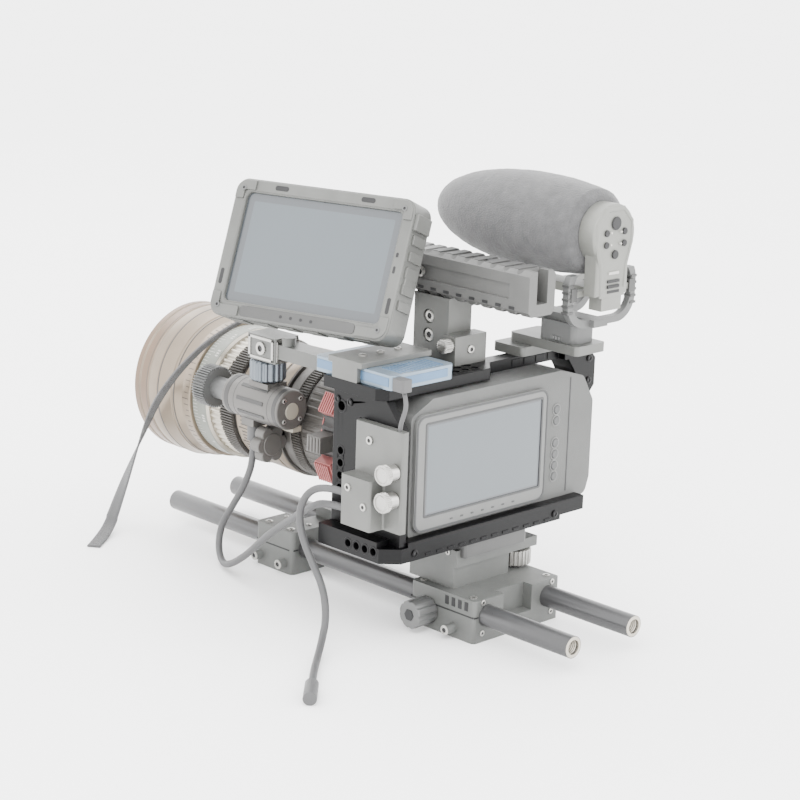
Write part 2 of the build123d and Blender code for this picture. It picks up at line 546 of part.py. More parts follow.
# ---- cords --------------------------------------------------------------------------------
CORD_ROUTES = {
    "motor_cable": (5.0, [
        (MOTOR_X, 180.5, 99), (MOTOR_X, 180.5, 83), (-59, 189, 64), (-59, 202, 45),
        (-60, 213, 29), (-63.5, 213, 15), (-70, 203, 6), (-78, 186, 6), (-85, 156, 24),
        (-88, 132, 45), (-91, 106, 63), (-97, 80, 80), (-103, 56, 92), (-103, 34, 92)]),
    "floor_cable": (5.0, [
        (-106, 34, 104), (-106, 49, 104), (-109, 65, 99), (-111, 73, 84), (-110, 71, 66),
        (-110, 60, 50), (-111, 47, 35), (-117, 37, 19), (-128, 29, 7.5), (-145, 15, 2.7),
        (-163, -2, 4.6), (-178, -17, 4.6)]),
    "neck_strap": (5.0, [
        (-34, pivot.Y + 11, 210), (-34, 146, 210), (-38, 192, 190), (-48, 236, 164),
        (-60, 262, 136), (-66, 284, 106), (-66, 299, 78), (-69, 311, 50), (-74, 318, 26),
        (-84, 316, 8), (-100, 306, 2.7), (-116, 294, 2.6)]),
    "drive_cable": (3.0, [
        (-95, -4, 146), (-95, -4, 152.5), (-95, -5.5, 159), (-94, -7.5, 165.5), (-92, -6, 171.5),
        (-90.5, -2, 176.6)]),
    "mic_cable": (3.0, [
        (11, 52, 208), (21, 52, 208), (32, 51, 213), (43, 48, 218), (53, 42, 223), (60, 32, 227),
        (60, 20, 227)]),
}


def cord_radii(points):
    """The largest tangent arc each corner allows: 0.45 of the shorter run beside it."""
    radii = []
    for before, here, after in zip(points, points[1:], points[2:]):
        first, second = Vector(*here) - Vector(*before), Vector(*after) - Vector(*here)
        half_turn = math.radians(first.get_angle(second)) / 2
        radii.append(0.45 * min(first.length, second.length) / math.tan(half_turn))
    return radii


for label, (diameter, points) in CORD_ROUTES.items():
    radii = cord_radii(points)
    with BuildPart() as cord:
        with BuildLine() as route:
            FilletPolyline(*points, radius=radii)
        start = Plane(origin=points[0], z_dir=Vector(*points[1]) - Vector(*points[0]))
        with BuildSketch(start) as section:
            Circle(diameter / 2)
        sweep(path=route.wire())
    length = route.wire().length
    volume_ratio = cord.part.volume / (section.sketch.area * length)
    print(label, "length", round(length, 1), "volume ratio", round(volume_ratio, 4),
          "radii", [round(value, 1) for value in radii])
    save(cord, label)

with BuildPart() as motor_plug:
    bar_z(MOTOR_X, 180.5, 99, MOTOR_Z - 19, 4.6)
save(motor_plug, "motor_plug")

with BuildPart() as drive_plug:
    block(-95, -86, -5.5, SSD[2], 176.6, 185)
    chamfer(drive_plug.edges().filter_by(Axis.Z), 1)
save(drive_plug, "drive_plug")

PLUG_R, PLUG_LENGTH = 4.5, 24.0
floor_points = CORD_ROUTES["floor_cable"][1]
last_run = Vector(*floor_points[-1]) - Vector(*floor_points[-2])
with BuildPart() as floor_plug:
    with BuildSketch(Plane(origin=floor_points[-1], z_dir=Vector(last_run.X, last_run.Y, 0))):
        Circle(PLUG_R)
    extrude(amount=PLUG_LENGTH)
save(floor_plug, "floor_plug")

# ---- fasteners ----------------------------------------------------------------------------
with BuildPart() as fasteners:
    for y in (64, 75):
        bar_x(y, 235, -HANDLE_HALF - 0.6, -HANDLE_HALF + 1.5, 3.6)
save(fasteners, "fasteners")
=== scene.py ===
import math
import random

import bmesh
import bpy
from mathutils import Matrix, Vector, noise


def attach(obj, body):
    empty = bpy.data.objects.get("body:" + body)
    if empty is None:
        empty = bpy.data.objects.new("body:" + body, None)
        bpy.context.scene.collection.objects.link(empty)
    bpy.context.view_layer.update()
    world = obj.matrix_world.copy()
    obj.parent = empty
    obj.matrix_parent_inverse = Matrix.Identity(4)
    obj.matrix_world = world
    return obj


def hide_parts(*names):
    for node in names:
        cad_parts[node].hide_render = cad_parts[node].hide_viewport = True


# Cinema camera rig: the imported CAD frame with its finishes, and the detailed pieces around it.
# Metres, +Z up, +Y is where the lens looks.  MM turns the drawing sizes into metres.

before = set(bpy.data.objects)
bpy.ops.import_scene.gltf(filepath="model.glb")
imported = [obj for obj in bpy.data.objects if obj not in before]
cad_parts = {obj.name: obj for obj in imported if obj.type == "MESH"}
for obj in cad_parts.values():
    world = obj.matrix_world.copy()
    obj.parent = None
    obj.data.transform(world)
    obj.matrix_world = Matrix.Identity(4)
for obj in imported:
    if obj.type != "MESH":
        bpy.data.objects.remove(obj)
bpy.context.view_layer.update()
scene = bpy.context.scene
MM = 0.001
random.seed(7)

# ---- camera, light and floor ----------------------------------------------------------------
azimuth, elevation, roll = math.radians(-44.59), math.radians(14.72), math.radians(1.83)
level = Vector((math.cos(azimuth), math.sin(azimuth), 0))
back = Vector((math.sin(azimuth) * math.cos(elevation), -math.cos(azimuth) * math.cos(elevation),
               math.sin(elevation)))
up = back.cross(level)
right = level * math.cos(roll) + up * math.sin(roll)
above = up * math.cos(roll) - level * math.sin(roll)
lens_data = bpy.data.cameras.new("camera")
lens_data.lens, lens_data.sensor_width = 99.892, 36.0
lens_data.clip_start, lens_data.clip_end = 0.05, 50
camera = bpy.data.objects.new("camera", lens_data)
camera.matrix_world = Matrix(((right.x, above.x, back.x, -1.05366), (right.y, above.y, back.y, -0.97571),
                              (right.z, above.z, back.z, 0.53111), (0, 0, 0, 1)))
scene.collection.objects.link(camera)
scene.camera = camera

world = bpy.data.worlds.new("studio")
world.use_nodes = True
world.node_tree.nodes["Background"].inputs[0].default_value = (1, 1, 1, 1)
world.node_tree.nodes["Background"].inputs[1].default_value = 5.0
scene.world = world


def lamp(name, place, aim, size, power):
    data = bpy.data.lights.new(name, "AREA")
    data.size, data.energy = size, power
    lamp_object = bpy.data.objects.new(name, data)
    lamp_object.location = place
    lamp_object.rotation_euler = (Vector(aim) - Vector(place)).to_track_quat("-Z", "Y").to_euler()
    scene.collection.objects.link(lamp_object)


lamp("key", (-1.2, -0.9, 1.6), (0, 0.1, 0.12), 0.7, 20)
lamp("fill", (1.0, -1.2, 0.8), (0, 0.1, 0.12), 0.9, 8)
lamp("rim", (0.3, 1.5, 1.3), (0, 0.1, 0.15), 0.9, 12)


# ---- materials ------------------------------------------------------------------------------
def tone(red, green=None, blue=None, share=0.665):
    """A colour given as display values 0 to 255, in linear light, darkened to suit the bright studio."""
    values = [v * share for v in (red, red if green is None else green, red if blue is None else blue)]
    return tuple(((v / 255 + 0.055) / 1.055) ** 2.4 if v > 10 else v / 3300 for v in values) + (1.0,)


def material(name, colour, rough=0.45, metal=0.0, grain=1500.0, bump=0.12, vary=0.12, blotch=35.0,
             fine="noise", coat=0.0, sheen=0.0, specular=0.5):
    """A finish with broad colour drift, uneven roughness and a fine surface texture."""
    made = bpy.data.materials.new(name)
    made.use_nodes = True
    made.diffuse_color = colour
    nodes, links = made.node_tree.nodes, made.node_tree.links
    shader = nodes["Principled BSDF"]
    shader.inputs["Metallic"].default_value = metal
    shader.inputs["Specular IOR Level"].default_value = specular
    shader.inputs["Coat Weight"].default_value = coat
    shader.inputs["Coat Roughness"].default_value = 0.12
    shader.inputs["Sheen Weight"].default_value = sheen
    place = nodes.new("ShaderNodeTexCoord")
    broad = nodes.new("ShaderNodeTexNoise")
    broad.inputs["Scale"].default_value = blotch
    broad.inputs["Detail"].default_value = 6
    links.new(place.outputs["Object"], broad.inputs["Vector"])
    ramp = nodes.new("ShaderNodeValToRGB")
    for element, factor in zip(ramp.color_ramp.elements, (1 - vary, 1 + vary)):
        element.color = tuple(min(1.0, c * factor) for c in colour[:3]) + (1.0,)
    ramp.color_ramp.elements[0].position, ramp.color_ramp.elements[1].position = 0.32, 0.68
    links.new(broad.outputs["Fac"], ramp.inputs["Fac"])
    links.new(ramp.outputs["Color"], shader.inputs["Base Color"])
    wear = nodes.new("ShaderNodeMapRange")
    wear.inputs["To Min"].default_value = max(0.03, rough - 0.08)
    wear.inputs["To Max"].default_value = min(1.0, rough + 0.1)
    scratch = nodes.new("ShaderNodeTexNoise")
    scratch.inputs["Scale"].default_value = blotch * 9
    scratch.inputs["Detail"].default_value = 8
    scratch.inputs["Roughness"].default_value = 0.7
    links.new(place.outputs["Object"], scratch.inputs["Vector"])
    links.new(scratch.outputs["Fac"], wear.inputs["Value"])
    links.new(wear.outputs["Result"], shader.inputs["Roughness"])
    if fine == "voronoi":
        texture = nodes.new("ShaderNodeTexVoronoi")
        height = texture.outputs["Distance"]
    elif fine == "weave":
        texture = nodes.new("ShaderNodeTexWave")
        texture.inputs["Distortion"].default_value = 1.5
        height = texture.outputs["Fac"]
    else:
        texture = nodes.new("ShaderNodeTexNoise")
        texture.inputs["Detail"].default_value = 3
        height = texture.outputs["Fac"]
    texture.inputs["Scale"].default_value = grain
    links.new(place.outputs["Object"], texture.inputs["Vector"])
    relief = nodes.new("ShaderNodeBump")
    relief.inputs["Strength"].default_value = bump
    relief.inputs["Distance"].default_value = 0.0004
    links.new(height, relief.inputs["Height"])
    links.new(relief.outputs["Normal"], shader.inputs["Normal"])
    return made


BLACK = material("anodised_black", tone(5, 5, 6), 0.34, 0.0, 2600, 0.1, 0.2, specular=0.16)
RIG = material("faded_anodised", tone(132, 133, 129), 0.42, 0.25, 2400, 0.12, 0.1)
RIG_DARK = material("faded_anodised_dark", tone(98, 98, 97), 0.45, 0.25, 2400, 0.12, 0.12)
BASE = material("base_paint", tone(118, 120, 117), 0.5, 0.1, 1900, 0.2, 0.1)
ROD = material("rod_anodised", tone(104, 104, 105), 0.3, 0.6, 3000, 0.05, 0.08)
BODY = material("camera_shell", tone(116, 117, 115), 0.62, 0.0, 1700, 0.35, 0.07, fine="voronoi")
BEZEL = material("bezel_plastic", tone(138, 139, 137), 0.5, 0.0, 1700, 0.25, 0.06)
BEZEL_LINE = material("bezel_line", tone(70, 71, 72), 0.45, 0.0, 1500, 0.2, 0.08)
SCREEN = material("screen_glass", tone(96, 108, 116), 0.14, 0.0, 60, 0.02, 0.05, 9, coat=0.6)
SCREEN_EDGE = material("screen_border", tone(84, 90, 96), 0.2, 0.0, 60, 0.02, 0.05, 9, coat=0.5)
RUBBER = material("soft_button", tone(112, 113, 113), 0.7, 0.0, 2200, 0.3, 0.08)
RECORD = material("record_cap", tone(165, 92, 90), 0.4, 0.0, 2200, 0.1, 0.1)
BOARD = material("sensor_board", tone(70, 105, 82), 0.5, 0.0, 900, 0.3, 0.2)
CELL = material("battery_case", tone(92), 0.6, 0.0, 1500, 0.25, 0.1)
LENS_DARK = material("lens_barrel_black", tone(104, 100, 95), 0.4, 0.3, 2400, 0.1, 0.1)
LENS = material("lens_paint", tone(186, 168, 146), 0.34, 0.4, 2400, 0.1, 0.16, 22)
BRONZE = material("lens_bronze", tone(158, 130, 106), 0.36, 0.4, 2400, 0.1, 0.14, 22)
# A lighter copy of the lens paint: painted highlight for the focus ring ridges; the rod end rings use it too.
LENS_BRIGHT = material("lens_ridge", tone(255, 246, 228), 0.3, 0.6, 2400, 0.08, 0.07)
LENS_BAND = material("lens_scale_band", tone(160, 164, 153), 0.42, 0.2, 2400, 0.1, 0.07)
TICK = material("scale_ink", tone(250, 248, 240), 0.5, 0.0, 2400, 0.05, 0.04)
TICK_DARK = material("scale_ink_dark", tone(50, 46, 42), 0.5, 0.0, 2400, 0.05, 0.04)
GLASS = material("coated_glass", tone(78, 82, 100), 0.05, 0.0, 40, 0.01, 0.3, 12, coat=1.0)
RED = material("red_anodised", tone(240, 146, 143), 0.36, 0.35, 2200, 0.1, 0.1)
MOTOR = material("motor_case", tone(118, 115, 111), 0.42, 0.2, 2200, 0.15, 0.1)
MOTOR_DARK = material("motor_dark", tone(70, 69, 68), 0.5, 0.1, 2200, 0.2, 0.12)
CREAM = material("cream_plastic", tone(196, 188, 170), 0.5, 0.0, 2000, 0.1, 0.06)
HANDLE = material("handle_anodised", tone(118, 118, 116), 0.45, 0.2, 2400, 0.14, 0.1)
DRIVE = material("drive_case", tone(168, 190, 210), 0.32, 0.5, 2600, 0.08, 0.08)
DRIVE_EDGE = material("drive_rail", tone(116, 158, 200), 0.3, 0.4, 2600, 0.08, 0.08)
MIC = material("microphone_case", tone(164, 165, 158), 0.42, 0.2, 2200, 0.12, 0.08)
LYRE = material("lyre_plastic", tone(122, 123, 122), 0.5, 0.0, 2000, 0.15, 0.08)
FOAM = material("open_foam", tone(118, 118, 119), 0.95, 0.0, 900, 0.9, 0.14, 160, fine="voronoi",
                sheen=0.25, specular=0.15)
CORD = material("cord_jacket", tone(98, 98, 99), 0.55, 0.0, 1800, 0.15, 0.08)
PLUG = material("plug_moulding", tone(100, 100, 101), 0.5, 0.0, 1700, 0.2, 0.08)
STRAP = material("strap_webbing", tone(122, 122, 123), 0.85, 0.0, 1300, 0.8, 0.1, fine="weave", sheen=0.2)
SILVER = material("satin_steel", tone(250, 248, 242), 0.28, 0.85, 2600, 0.08, 0.06)
# Dark grey: painted shade in the screw sockets and in the handle holes and monitor slots; also plain dark on
# the mic controls, the side knob face and the base and clamp seam lines.
SILVER_DARK = material("socket_dark", tone(60, 60, 61), 0.5, 0.5, 2200, 0.1, 0.1)
STEEL_BLUE = material("blue_steel", tone(150, 160, 170), 0.3, 0.6, 2600, 0.08, 0.08)
KNOB = material("knob_anodised", tone(132, 133, 132), 0.38, 0.35, 2400, 0.12, 0.09)


# ---- shape helpers: each Piece gathers shapes of one material into one mesh -------------------
def facing(place, direction, twist="Y"):
    """A frame at place whose Z looks along direction."""
    turned = Vector(direction).normalized().to_track_quat("Z", twist).to_matrix().to_4x4()
    return Matrix.Translation(Vector(place)) @ turned


AX = {"x": Vector((1, 0, 0)), "y": Vector((0, 1, 0)), "z": Vector((0, 0, 1))}


class Piece:
    def __init__(self, name, body, finish, slot=None):
        self.name, self.body, self.finish, self.slot = name, body, finish, slot
        self.bm = bmesh.new()

    def add(self, verts, faces, matrix):
        made = [self.bm.verts.new(matrix @ Vector(v)) for v in verts]
        for face in faces:
            try:
                self.bm.faces.new([made[i] for i in face])
            except ValueError:
                pass
        return self

    def box_mm(self, low, high, matrix=Matrix.Identity(4)):
        return self.box([c * MM for c in low], [c * MM for c in high], matrix)

    def box(self, low, high, matrix=Matrix.Identity(4)):
        middle = (Vector(low) + Vector(high)) / 2
        size = Vector(high) - Vector(low)
        bmesh.ops.create_cube(self.bm, size=1, matrix=matrix @ Matrix.Translation(middle)
                              @ Matrix.Diagonal((*size, 1)))
        return self

    def tube(self, profile, matrix, steps=64, closed=True, wave=None):
        """Turns (radius, height) points about Z.  wave(angle, radius) may alter the radius."""
        count = len(profile)
        verts = []
        for i in range(steps):
            angle = 2 * math.pi * i / steps
            for radius, height in profile:
                r = wave(i, radius) if wave else radius
                verts.append((r * math.cos(angle), r * math.sin(angle), height))
        faces = []
        for i in range(steps):
            a, b = i * count, ((i + 1) % steps) * count
            for j in range(count if closed else count - 1):
                k = (j + 1) % count
                faces.append((a + j, a + k, b + k, b + j))
        if not closed:
            faces.append([i * count for i in range(steps)])
            faces.append([i * count + count - 1 for i in range(steps)][::-1])
        return self.add(verts, faces, matrix)

    def disc(self, radius, h0, h1, matrix, steps=32, ease=0.12):
        e = min(ease * radius, (h1 - h0) * 0.4)
        return self.tube([(radius - e, h0), (radius, h0 + e), (radius, h1 - e), (radius - e, h1)],
                         matrix, steps, closed=False)

    def grip(self, radius, h0, h1, matrix, teeth, depth):
        """A solid knob with teeth around its rim."""
        def wave(i, r):
            return r - (depth if i % 4 in (2, 3) and r > radius * 0.8 else 0)
        e = min(0.1 * radius, (h1 - h0) * 0.25)
        return self.tube([(radius * 0.82, h0), (radius, h0 + e), (radius, h1 - e), (radius * 0.82, h1)],
                         matrix, teeth * 4, closed=False, wave=wave)

    def gear(self, outer, inner, h0, h1, matrix, teeth, depth):
        def wave(i, r):
            return r - (depth if i % 4 in (2, 3) and r > inner + 1e-6 else 0)
        return self.tube([(inner, h0), (outer, h0), (outer, h1), (inner, h1)], matrix, teeth * 4,
                         wave=wave)

    def socket_screw(self, place, direction, radius, height, dark):
        """A socket-head screw: a chamfered head whose hexagonal recess holds a dark hexagon, painted shade.
        """
        matrix = facing(place, direction)
        self.tube([(radius * 0.52, height), (radius * 0.52, height * 0.3), (radius, 0),
                   (radius, height * 0.8),
                   (radius * 0.86, height)], matrix, 24)
        dark.disc(radius * 0.54, -0.0002, height * 0.45, matrix, 6, 0.02)
        return self

    def done(self, replaces=(), bevel=0.25, angle=38, smooth=32):
        bmesh.ops.recalc_face_normals(self.bm, faces=self.bm.faces)
        mesh = bpy.data.meshes.new(self.name)
        self.bm.to_mesh(mesh)
        self.bm.free()
        for polygon in mesh.polygons:
            polygon.use_smooth = True
        mesh.set_sharp_from_angle(angle=math.radians(smooth))
        mesh.materials.append(self.finish)
        made = bpy.data.objects.new(self.name, mesh)
        scene.collection.objects.link(made)
        if bevel:
            round_off(made, bevel, angle)
        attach(made, self.body)
        if replaces:
            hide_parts(*replaces)
        return made


def round_off(made, width, angle=38):
    edge = made.modifiers.new("edges", "BEVEL")
    edge.width, edge.segments = width * MM, 2
    edge.limit_method, edge.angle_limit = "ANGLE", math.radians(angle)
    edge.harden_normals = True


# ---- CAD nodes: finish and eased edges --------------------------------------------------------
FINISHES = {
    "base_block": (BASE, 0.7), "base_knob": (KNOB, 0.3), "rod_left": (ROD, 0.5), "rod_right": (ROD, 0.5),
    "front_rod_clamp": (BASE, 0.7), "slide_plate": (RIG_DARK, 0.6), "cage_bottom": (BLACK, 0.5),
    "cage_side": (BLACK, 0.5), "cage_top": (BLACK, 0.6), "camera_rear_shell": (BODY, 0.8),
    "camera_front_shell": (BODY, 0.8), "record_button": (RECORD, 0.5), "lcd_bezel": (BEZEL, 0.7),
    "lcd_glass": (SCREEN_EDGE, 0), "image_sensor": (BOARD, 0), "battery": (CELL, 0.6),
    "lens_mount": (SILVER, 0.3), "lens_adapter": (LENS_DARK, 0.4), "lens_barrel": (LENS_DARK, 0.4),
    "lens_elements": (GLASS, 0), "motor_body": (MOTOR, 0.5), "motor_arm": (RIG, 0.5),
    "handle_grip": (HANDLE, 0.6), "handle_post": (RIG, 0.6), "monitor_body": (MOTOR_DARK, 0.4),
    "monitor_cage": (RIG, 0.8), "monitor_yoke": (RIG_DARK, 0.4), "monitor_arm": (RIG, 0.6),
    "ssd_body": (DRIVE, 0.7), "ssd_clamp": (RIG, 0.5), "cable_clamp": (RIG, 0.6),
    "shoe_extension": (RIG, 0.5), "mic_lyre": (LYRE, 0.5), "mic_body": (MIC, 0.5),
    "motor_plug": (PLUG, 0.5), "drive_plug": (PLUG, 0.6), "floor_plug": (PLUG, 0.8),
}
for node, (finish, width) in FINISHES.items():
    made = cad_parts[node]
    made.data.materials.clear()
    made.data.materials.append(finish)
    if width:
        weld = made.modifiers.new("weld", "WELD")
        weld.merge_threshold = 0.00002
        round_off(made, width)

# ---- cords -----------------------------------------------------------------------------------
CORD_ROUTES = {
    "motor_cable": (5.0, [
        (-59.060, 180.5, 99), (-59.060, 180.5, 83), (-59, 189, 64), (-59, 202, 45),
        (-60, 213, 29), (-63.5, 213, 15), (-70, 203, 6), (-78, 186, 6), (-85, 156, 24),
        (-88, 132, 45), (-91, 106, 63), (-97, 80, 80), (-103, 56, 92), (-103, 34, 92)]),
    "floor_cable": (5.0, [
        (-106, 34, 104), (-106, 49, 104), (-109, 65, 99), (-111, 73, 84), (-110, 71, 66),
        (-110, 60, 50), (-111, 47, 35), (-117, 37, 19), (-128, 29, 7.5), (-145, 15, 2.7),
        (-163, -2, 4.6), (-178, -17, 4.6)]),
    "neck_strap": (5.0, [
        (-34, 117.459, 210), (-34, 146, 210), (-38, 192, 190), (-48, 236, 164),
        (-60, 262, 136), (-66, 284, 106), (-66, 299, 78), (-69, 311, 50), (-74, 318, 26),
        (-84, 316, 8), (-100, 306, 2.7), (-116, 294, 2.6)]),
    "drive_cable": (3.0, [
        (-95, -4, 146), (-95, -4, 152.5), (-95, -5.5, 159), (-94, -7.5, 165.5), (-92, -6, 171.5),
        (-90.5, -2, 176.6)]),
    "mic_cable": (3.0, [
        (11, 52, 208), (21, 52, 208), (32, 51, 213), (43, 48, 218), (53, 42, 223), (60, 32, 227),
        (60, 20, 227)]),
}


def route_curve(name, points, radius):
    data = bpy.data.curves.new(name, "CURVE")
    data.dimensions = "3D"
    spline = data.splines.new("NURBS")
    spline.points.add(len(points) - 1)
    for point, place in zip(spline.points, points):
        point.co = (*(c * MM for c in place), 1)
    spline.order_u = 3
    spline.use_endpoint_u = True
    spline.resolution_u = 16
    data.bevel_depth = radius * MM
    data.bevel_resolution = 6
    data.use_fill_caps = True
    made = bpy.data.objects.new(name, data)
    scene.collection.objects.link(made)
    return made


def line_of(points):
    """The points along the smooth line of a route."""
    bare = route_curve("route", points, 0)
    mesh = bpy.data.meshes.new_from_object(bare)
    line = [v.co.copy() for v in mesh.vertices]
    bpy.data.objects.remove(bare)
    bpy.data.meshes.remove(mesh)
    return line


def length_of(line):
    return sum((b - a).length for a, b in zip(line, line[1:]))


for name, (diameter, points) in CORD_ROUTES.items():
    if name == "neck_strap":
        continue
    line = line_of(points)
    cord = route_curve(name + "_jacket", points, diameter / 2)
    cord.data.materials.append(CORD)
    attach(cord, "camera")
    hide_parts(name)

# The strap is a flat web: it follows the route without twisting, then turns to lie flat on the floor.
STRAP_W, STRAP_T = 10.0, 1.5
line = line_of(CORD_ROUTES["neck_strap"][1])
total, run = length_of(line), 0.0
strap_bm = bmesh.new()
rings = []


def tangent(i):
    return (line[min(len(line) - 1, i + 1)] - line[max(0, i - 1)]).normalized()


faces_out, face = [], Vector((0, 0, 1))
for i in range(len(line)):
    along = tangent(i)
    face = (face - along * face.dot(along)).normalized()
    faces_out.append(face.copy())
flat = (Vector((0, 0, 1)) - tangent(len(line) - 1) * tangent(len(line) - 1).z).normalized()
turn = math.atan2(faces_out[-1].cross(flat).dot(tangent(len(line) - 1)), faces_out[-1].dot(flat))
for i, place in enumerate(line):
    if i:
        run += (place - line[i - 1]).length
    share = max(0.0, min(1.0, (run / total - 0.55) / 0.4))
    share = share * share * (3 - 2 * share)
    along = tangent(i)
    face = Matrix.Rotation(turn * share, 3, along) @ faces_out[i]
    side = along.cross(face).normalized()
    lower = Vector((0, 0, -1.6 * MM)) * share if place.z < 0.012 else Vector()
    half, thick = STRAP_W / 2 * MM, STRAP_T / 2 * MM
    ring = []
    for a, b in ((-1, -0.6), (-0.94, -1), (-0.5, -0.86), (0, -0.8), (0.5, -0.86), (0.94, -1), (1, -0.6),
                 (1, 0.6), (0.94, 1), (0.5, 0.86), (0, 0.8), (-0.5, 0.86), (-0.94, 1), (-1, 0.6)):
        ring.append(strap_bm.verts.new(place + lower + side * a * half + face * b * thick))
    rings.append(ring)
for first, second in zip(rings, rings[1:]):
    for j in range(len(first)):
        k = (j + 1) % len(first)
        strap_bm.faces.new((first[j], first[k], second[k], second[j]))
strap_bm.faces.new(rings[0][::-1])
strap_bm.faces.new(rings[-1])
bmesh.ops.recalc_face_normals(strap_bm, faces=strap_bm.faces)
strap_mesh = bpy.data.meshes.new("neck_strap_web")
strap_bm.to_mesh(strap_mesh)
strap_bm.free()
for polygon in strap_mesh.polygons:
    polygon.use_smooth = True
strap_mesh.materials.append(STRAP)
strap = bpy.data.objects.new("neck_strap_web", strap_mesh)
scene.collection.objects.link(strap)
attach(strap, "camera")
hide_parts("neck_strap")

# ---- lens -------------------------------------------------------------------------------------
AXIS = (0, 0, 0.110)
lens_at = facing(AXIS, AX["y"])


def mm(profile):
    return [(r * MM, h * MM) for r, h in profile]


front = Piece("lens_front_shell", "camera", LENS, "lens_grey")
front.tube(mm([(41, 262), (51.4, 262), (52, 262.6), (52, 270.6), (51.2, 271.2), (51.2, 272), (54, 277),
               (54.6, 279), (54.1, 279.4), (54.1, 280.4), (54.8, 281), (56.4, 291), (57, 292.4),
               (57, 303.4), (56.5, 303.9), (56.5, 304.9), (57, 305.4), (57, 314), (56.3, 314.6),
               (56.3, 315.4), (57, 316), (57, 321), (56.2, 322), (54, 322), (53, 321), (53, 319.6),
               (53.5, 319.2), (53, 318.4), (53.5, 317.6), (53, 316.8), (53.5, 316), (53, 315.2),
               (53, 300.6), (48, 299.6), (47, 300.4), (46.2, 299.4), (46.2, 290), (41, 290)]),
           lens_at, 160)
front.done(["lens_front_barrel"], bevel=0)
rim_ring = Piece("lens_front_rim_band", "camera", BRONZE, "lens_grey")
rim_ring.tube(mm([(56.9, 305.6), (57.12, 305.8), (57.12, 313.6), (56.9, 313.8)]), lens_at, 160)
rim_ring.tube(mm([(56.9, 316.2), (57.12, 316.4), (57.12, 320.6), (56.9, 320.8)]), lens_at, 160)
rim_ring.tube(mm([(56.9, 292.8), (57.12, 293.0), (57.12, 294.6), (56.9, 294.8)]), lens_at, 160)
rim_ring.done(bevel=0)
band = Piece("lens_front_bands", "camera", LENS_DARK, "lens_dark")
for y0, y1, r in ((292.6, 294.0, 57.25), (306.5, 307.4, 57.2), (277.2, 278.4, 54.5)):
    band.tube(mm([(r - 1, y0), (r, y0 + 0.2), (r, y1 - 0.2), (r - 1, y1)]), lens_at, 120)
band.done(bevel=0)
marks = Piece("lens_front_marks", "camera", TICK_DARK, "lens_dark")
for i in range(72):
    angle = 2 * math.pi * i / 72
    spin = lens_at @ Matrix.Rotation(angle, 4, "Z")
    high = 270.2 if i % 6 == 0 else (268.4 if i % 2 else 266.8)
    marks.box_mm((51.7, -0.22, 263.6), (52.15, 0.22, high), spin)
marks.done(bevel=0)

FOCUS_TEETH = 141
focus = Piece("focus_gear", "focus", LENS_DARK, "lens_grey")
focus.gear(47.4 * MM, 41.1 * MM, 219.4 * MM, 232.8 * MM, lens_at, FOCUS_TEETH, 1.5 * MM)
focus.tube(mm([(41.1, 232.8), (45.4, 232.8), (45.4, 234), (41.1, 234)]), lens_at, 96)
focus.done(["focus_ring"], bevel=0)
# The ridges take the near-white ridge colour, a painted highlight.
ribs = Piece("focus_ridges", "focus", LENS_BRIGHT, "lens_grey")
ribs.gear(46.6 * MM, 41.1 * MM, 234 * MM, 244.6 * MM, lens_at, 60, 1.1 * MM)
ribs.tube(mm([(41.1, 244.6), (47.6, 244.6), (49.3, 246.2), (41.1, 246.2)]), lens_at, 120)
ribs.done(bevel=0)
scale = Piece("focus_scale_band", "focus", LENS_BAND, "lens_grey")
scale.tube(mm([(41.1, 246.2), (49.1, 246.2), (49.5, 246.7), (49.5, 261.2), (49, 261.7), (41.1, 261.7)]),
           lens_at, 140)
scale.done(bevel=0)
ticks = Piece("focus_scale_marks", "focus", TICK, "lens_grey")
for i in range(120):
    spin = lens_at @ Matrix.Rotation(2 * math.pi * i / 120, 4, "Z")
    low = 256.0 if i % 5 else 253.6
    ticks.box_mm((49.3, -0.18, low), (49.62, 0.18, 260.6), spin)
for i in range(17):
    spin = lens_at @ Matrix.Rotation(2 * math.pi * (i + random.random() * 0.4) / 17, 4, "Z")
    for k in range(random.choice((1, 2, 3))):
        ticks.box_mm((49.3, k * 2.2 - 1, 248.6), (49.62, k * 2.2 + 0.2, 251.4),
                     spin)
ticks.done(bevel=0)

mid = Piece("lens_barrel_sleeve", "camera", LENS, "lens_grey")
mid.tube(mm([(43.9, 170.2), (46.0, 170.2), (46.3, 171), (46.3, 178), (45.6, 178.6), (45.6, 180),
             (46.2, 180.6),
             (45.7, 197), (45.1, 197.6), (45.1, 199), (45.6, 199.6), (45.2, 216.4), (44.4, 217.4),
             (43.9, 217.4)]), lens_at, 128)
mid.done(bevel=0)
mid_marks = Piece("lens_barrel_marks", "camera", TICK_DARK, "lens_dark")
for i in range(96):
    spin = lens_at @ Matrix.Rotation(2 * math.pi * i / 96, 4, "Z")
    mid_marks.box_mm((45.1, -0.3, 203.5), (45.55, 0.3, 212 if i % 4 else 214.6),
                     spin)
mid_marks.done(bevel=0)
mount_ribs = Piece("lens_neck_ribs", "camera", LENS_DARK, "lens_dark")
mount_ribs.gear(43.6 * MM, 36.5 * MM, 124 * MM, 146 * MM, lens_at, 48, 1.2 * MM)
for y in (74, 80, 86, 92):
    mount_ribs.tube(mm([(43, y), (44.5, y + 0.4), (44.5, y + 2.4), (43, y + 2.8)]), lens_at, 96)
mount_ribs.done(bevel=0)

iris = Piece("iris_gear", "iris", LENS_DARK, "lens_grey")
iris.gear(44.2 * MM, 38.1 * MM, 149 * MM, 158 * MM, lens_at, 130, 1.3 * MM)
iris.tube(mm([(38.1, 158.4), (43.6, 158.4), (44.2, 159), (44.2, 167.2), (43.6, 167.8), (38.1, 167.8)]),
          lens_at, 120)
iris.disc(2.2 * MM, 42 * MM, 49 * MM, facing((0, 0.158, 0.110), (-1, 0, 0)), 24)
iris.done(["iris_ring"], bevel=0)

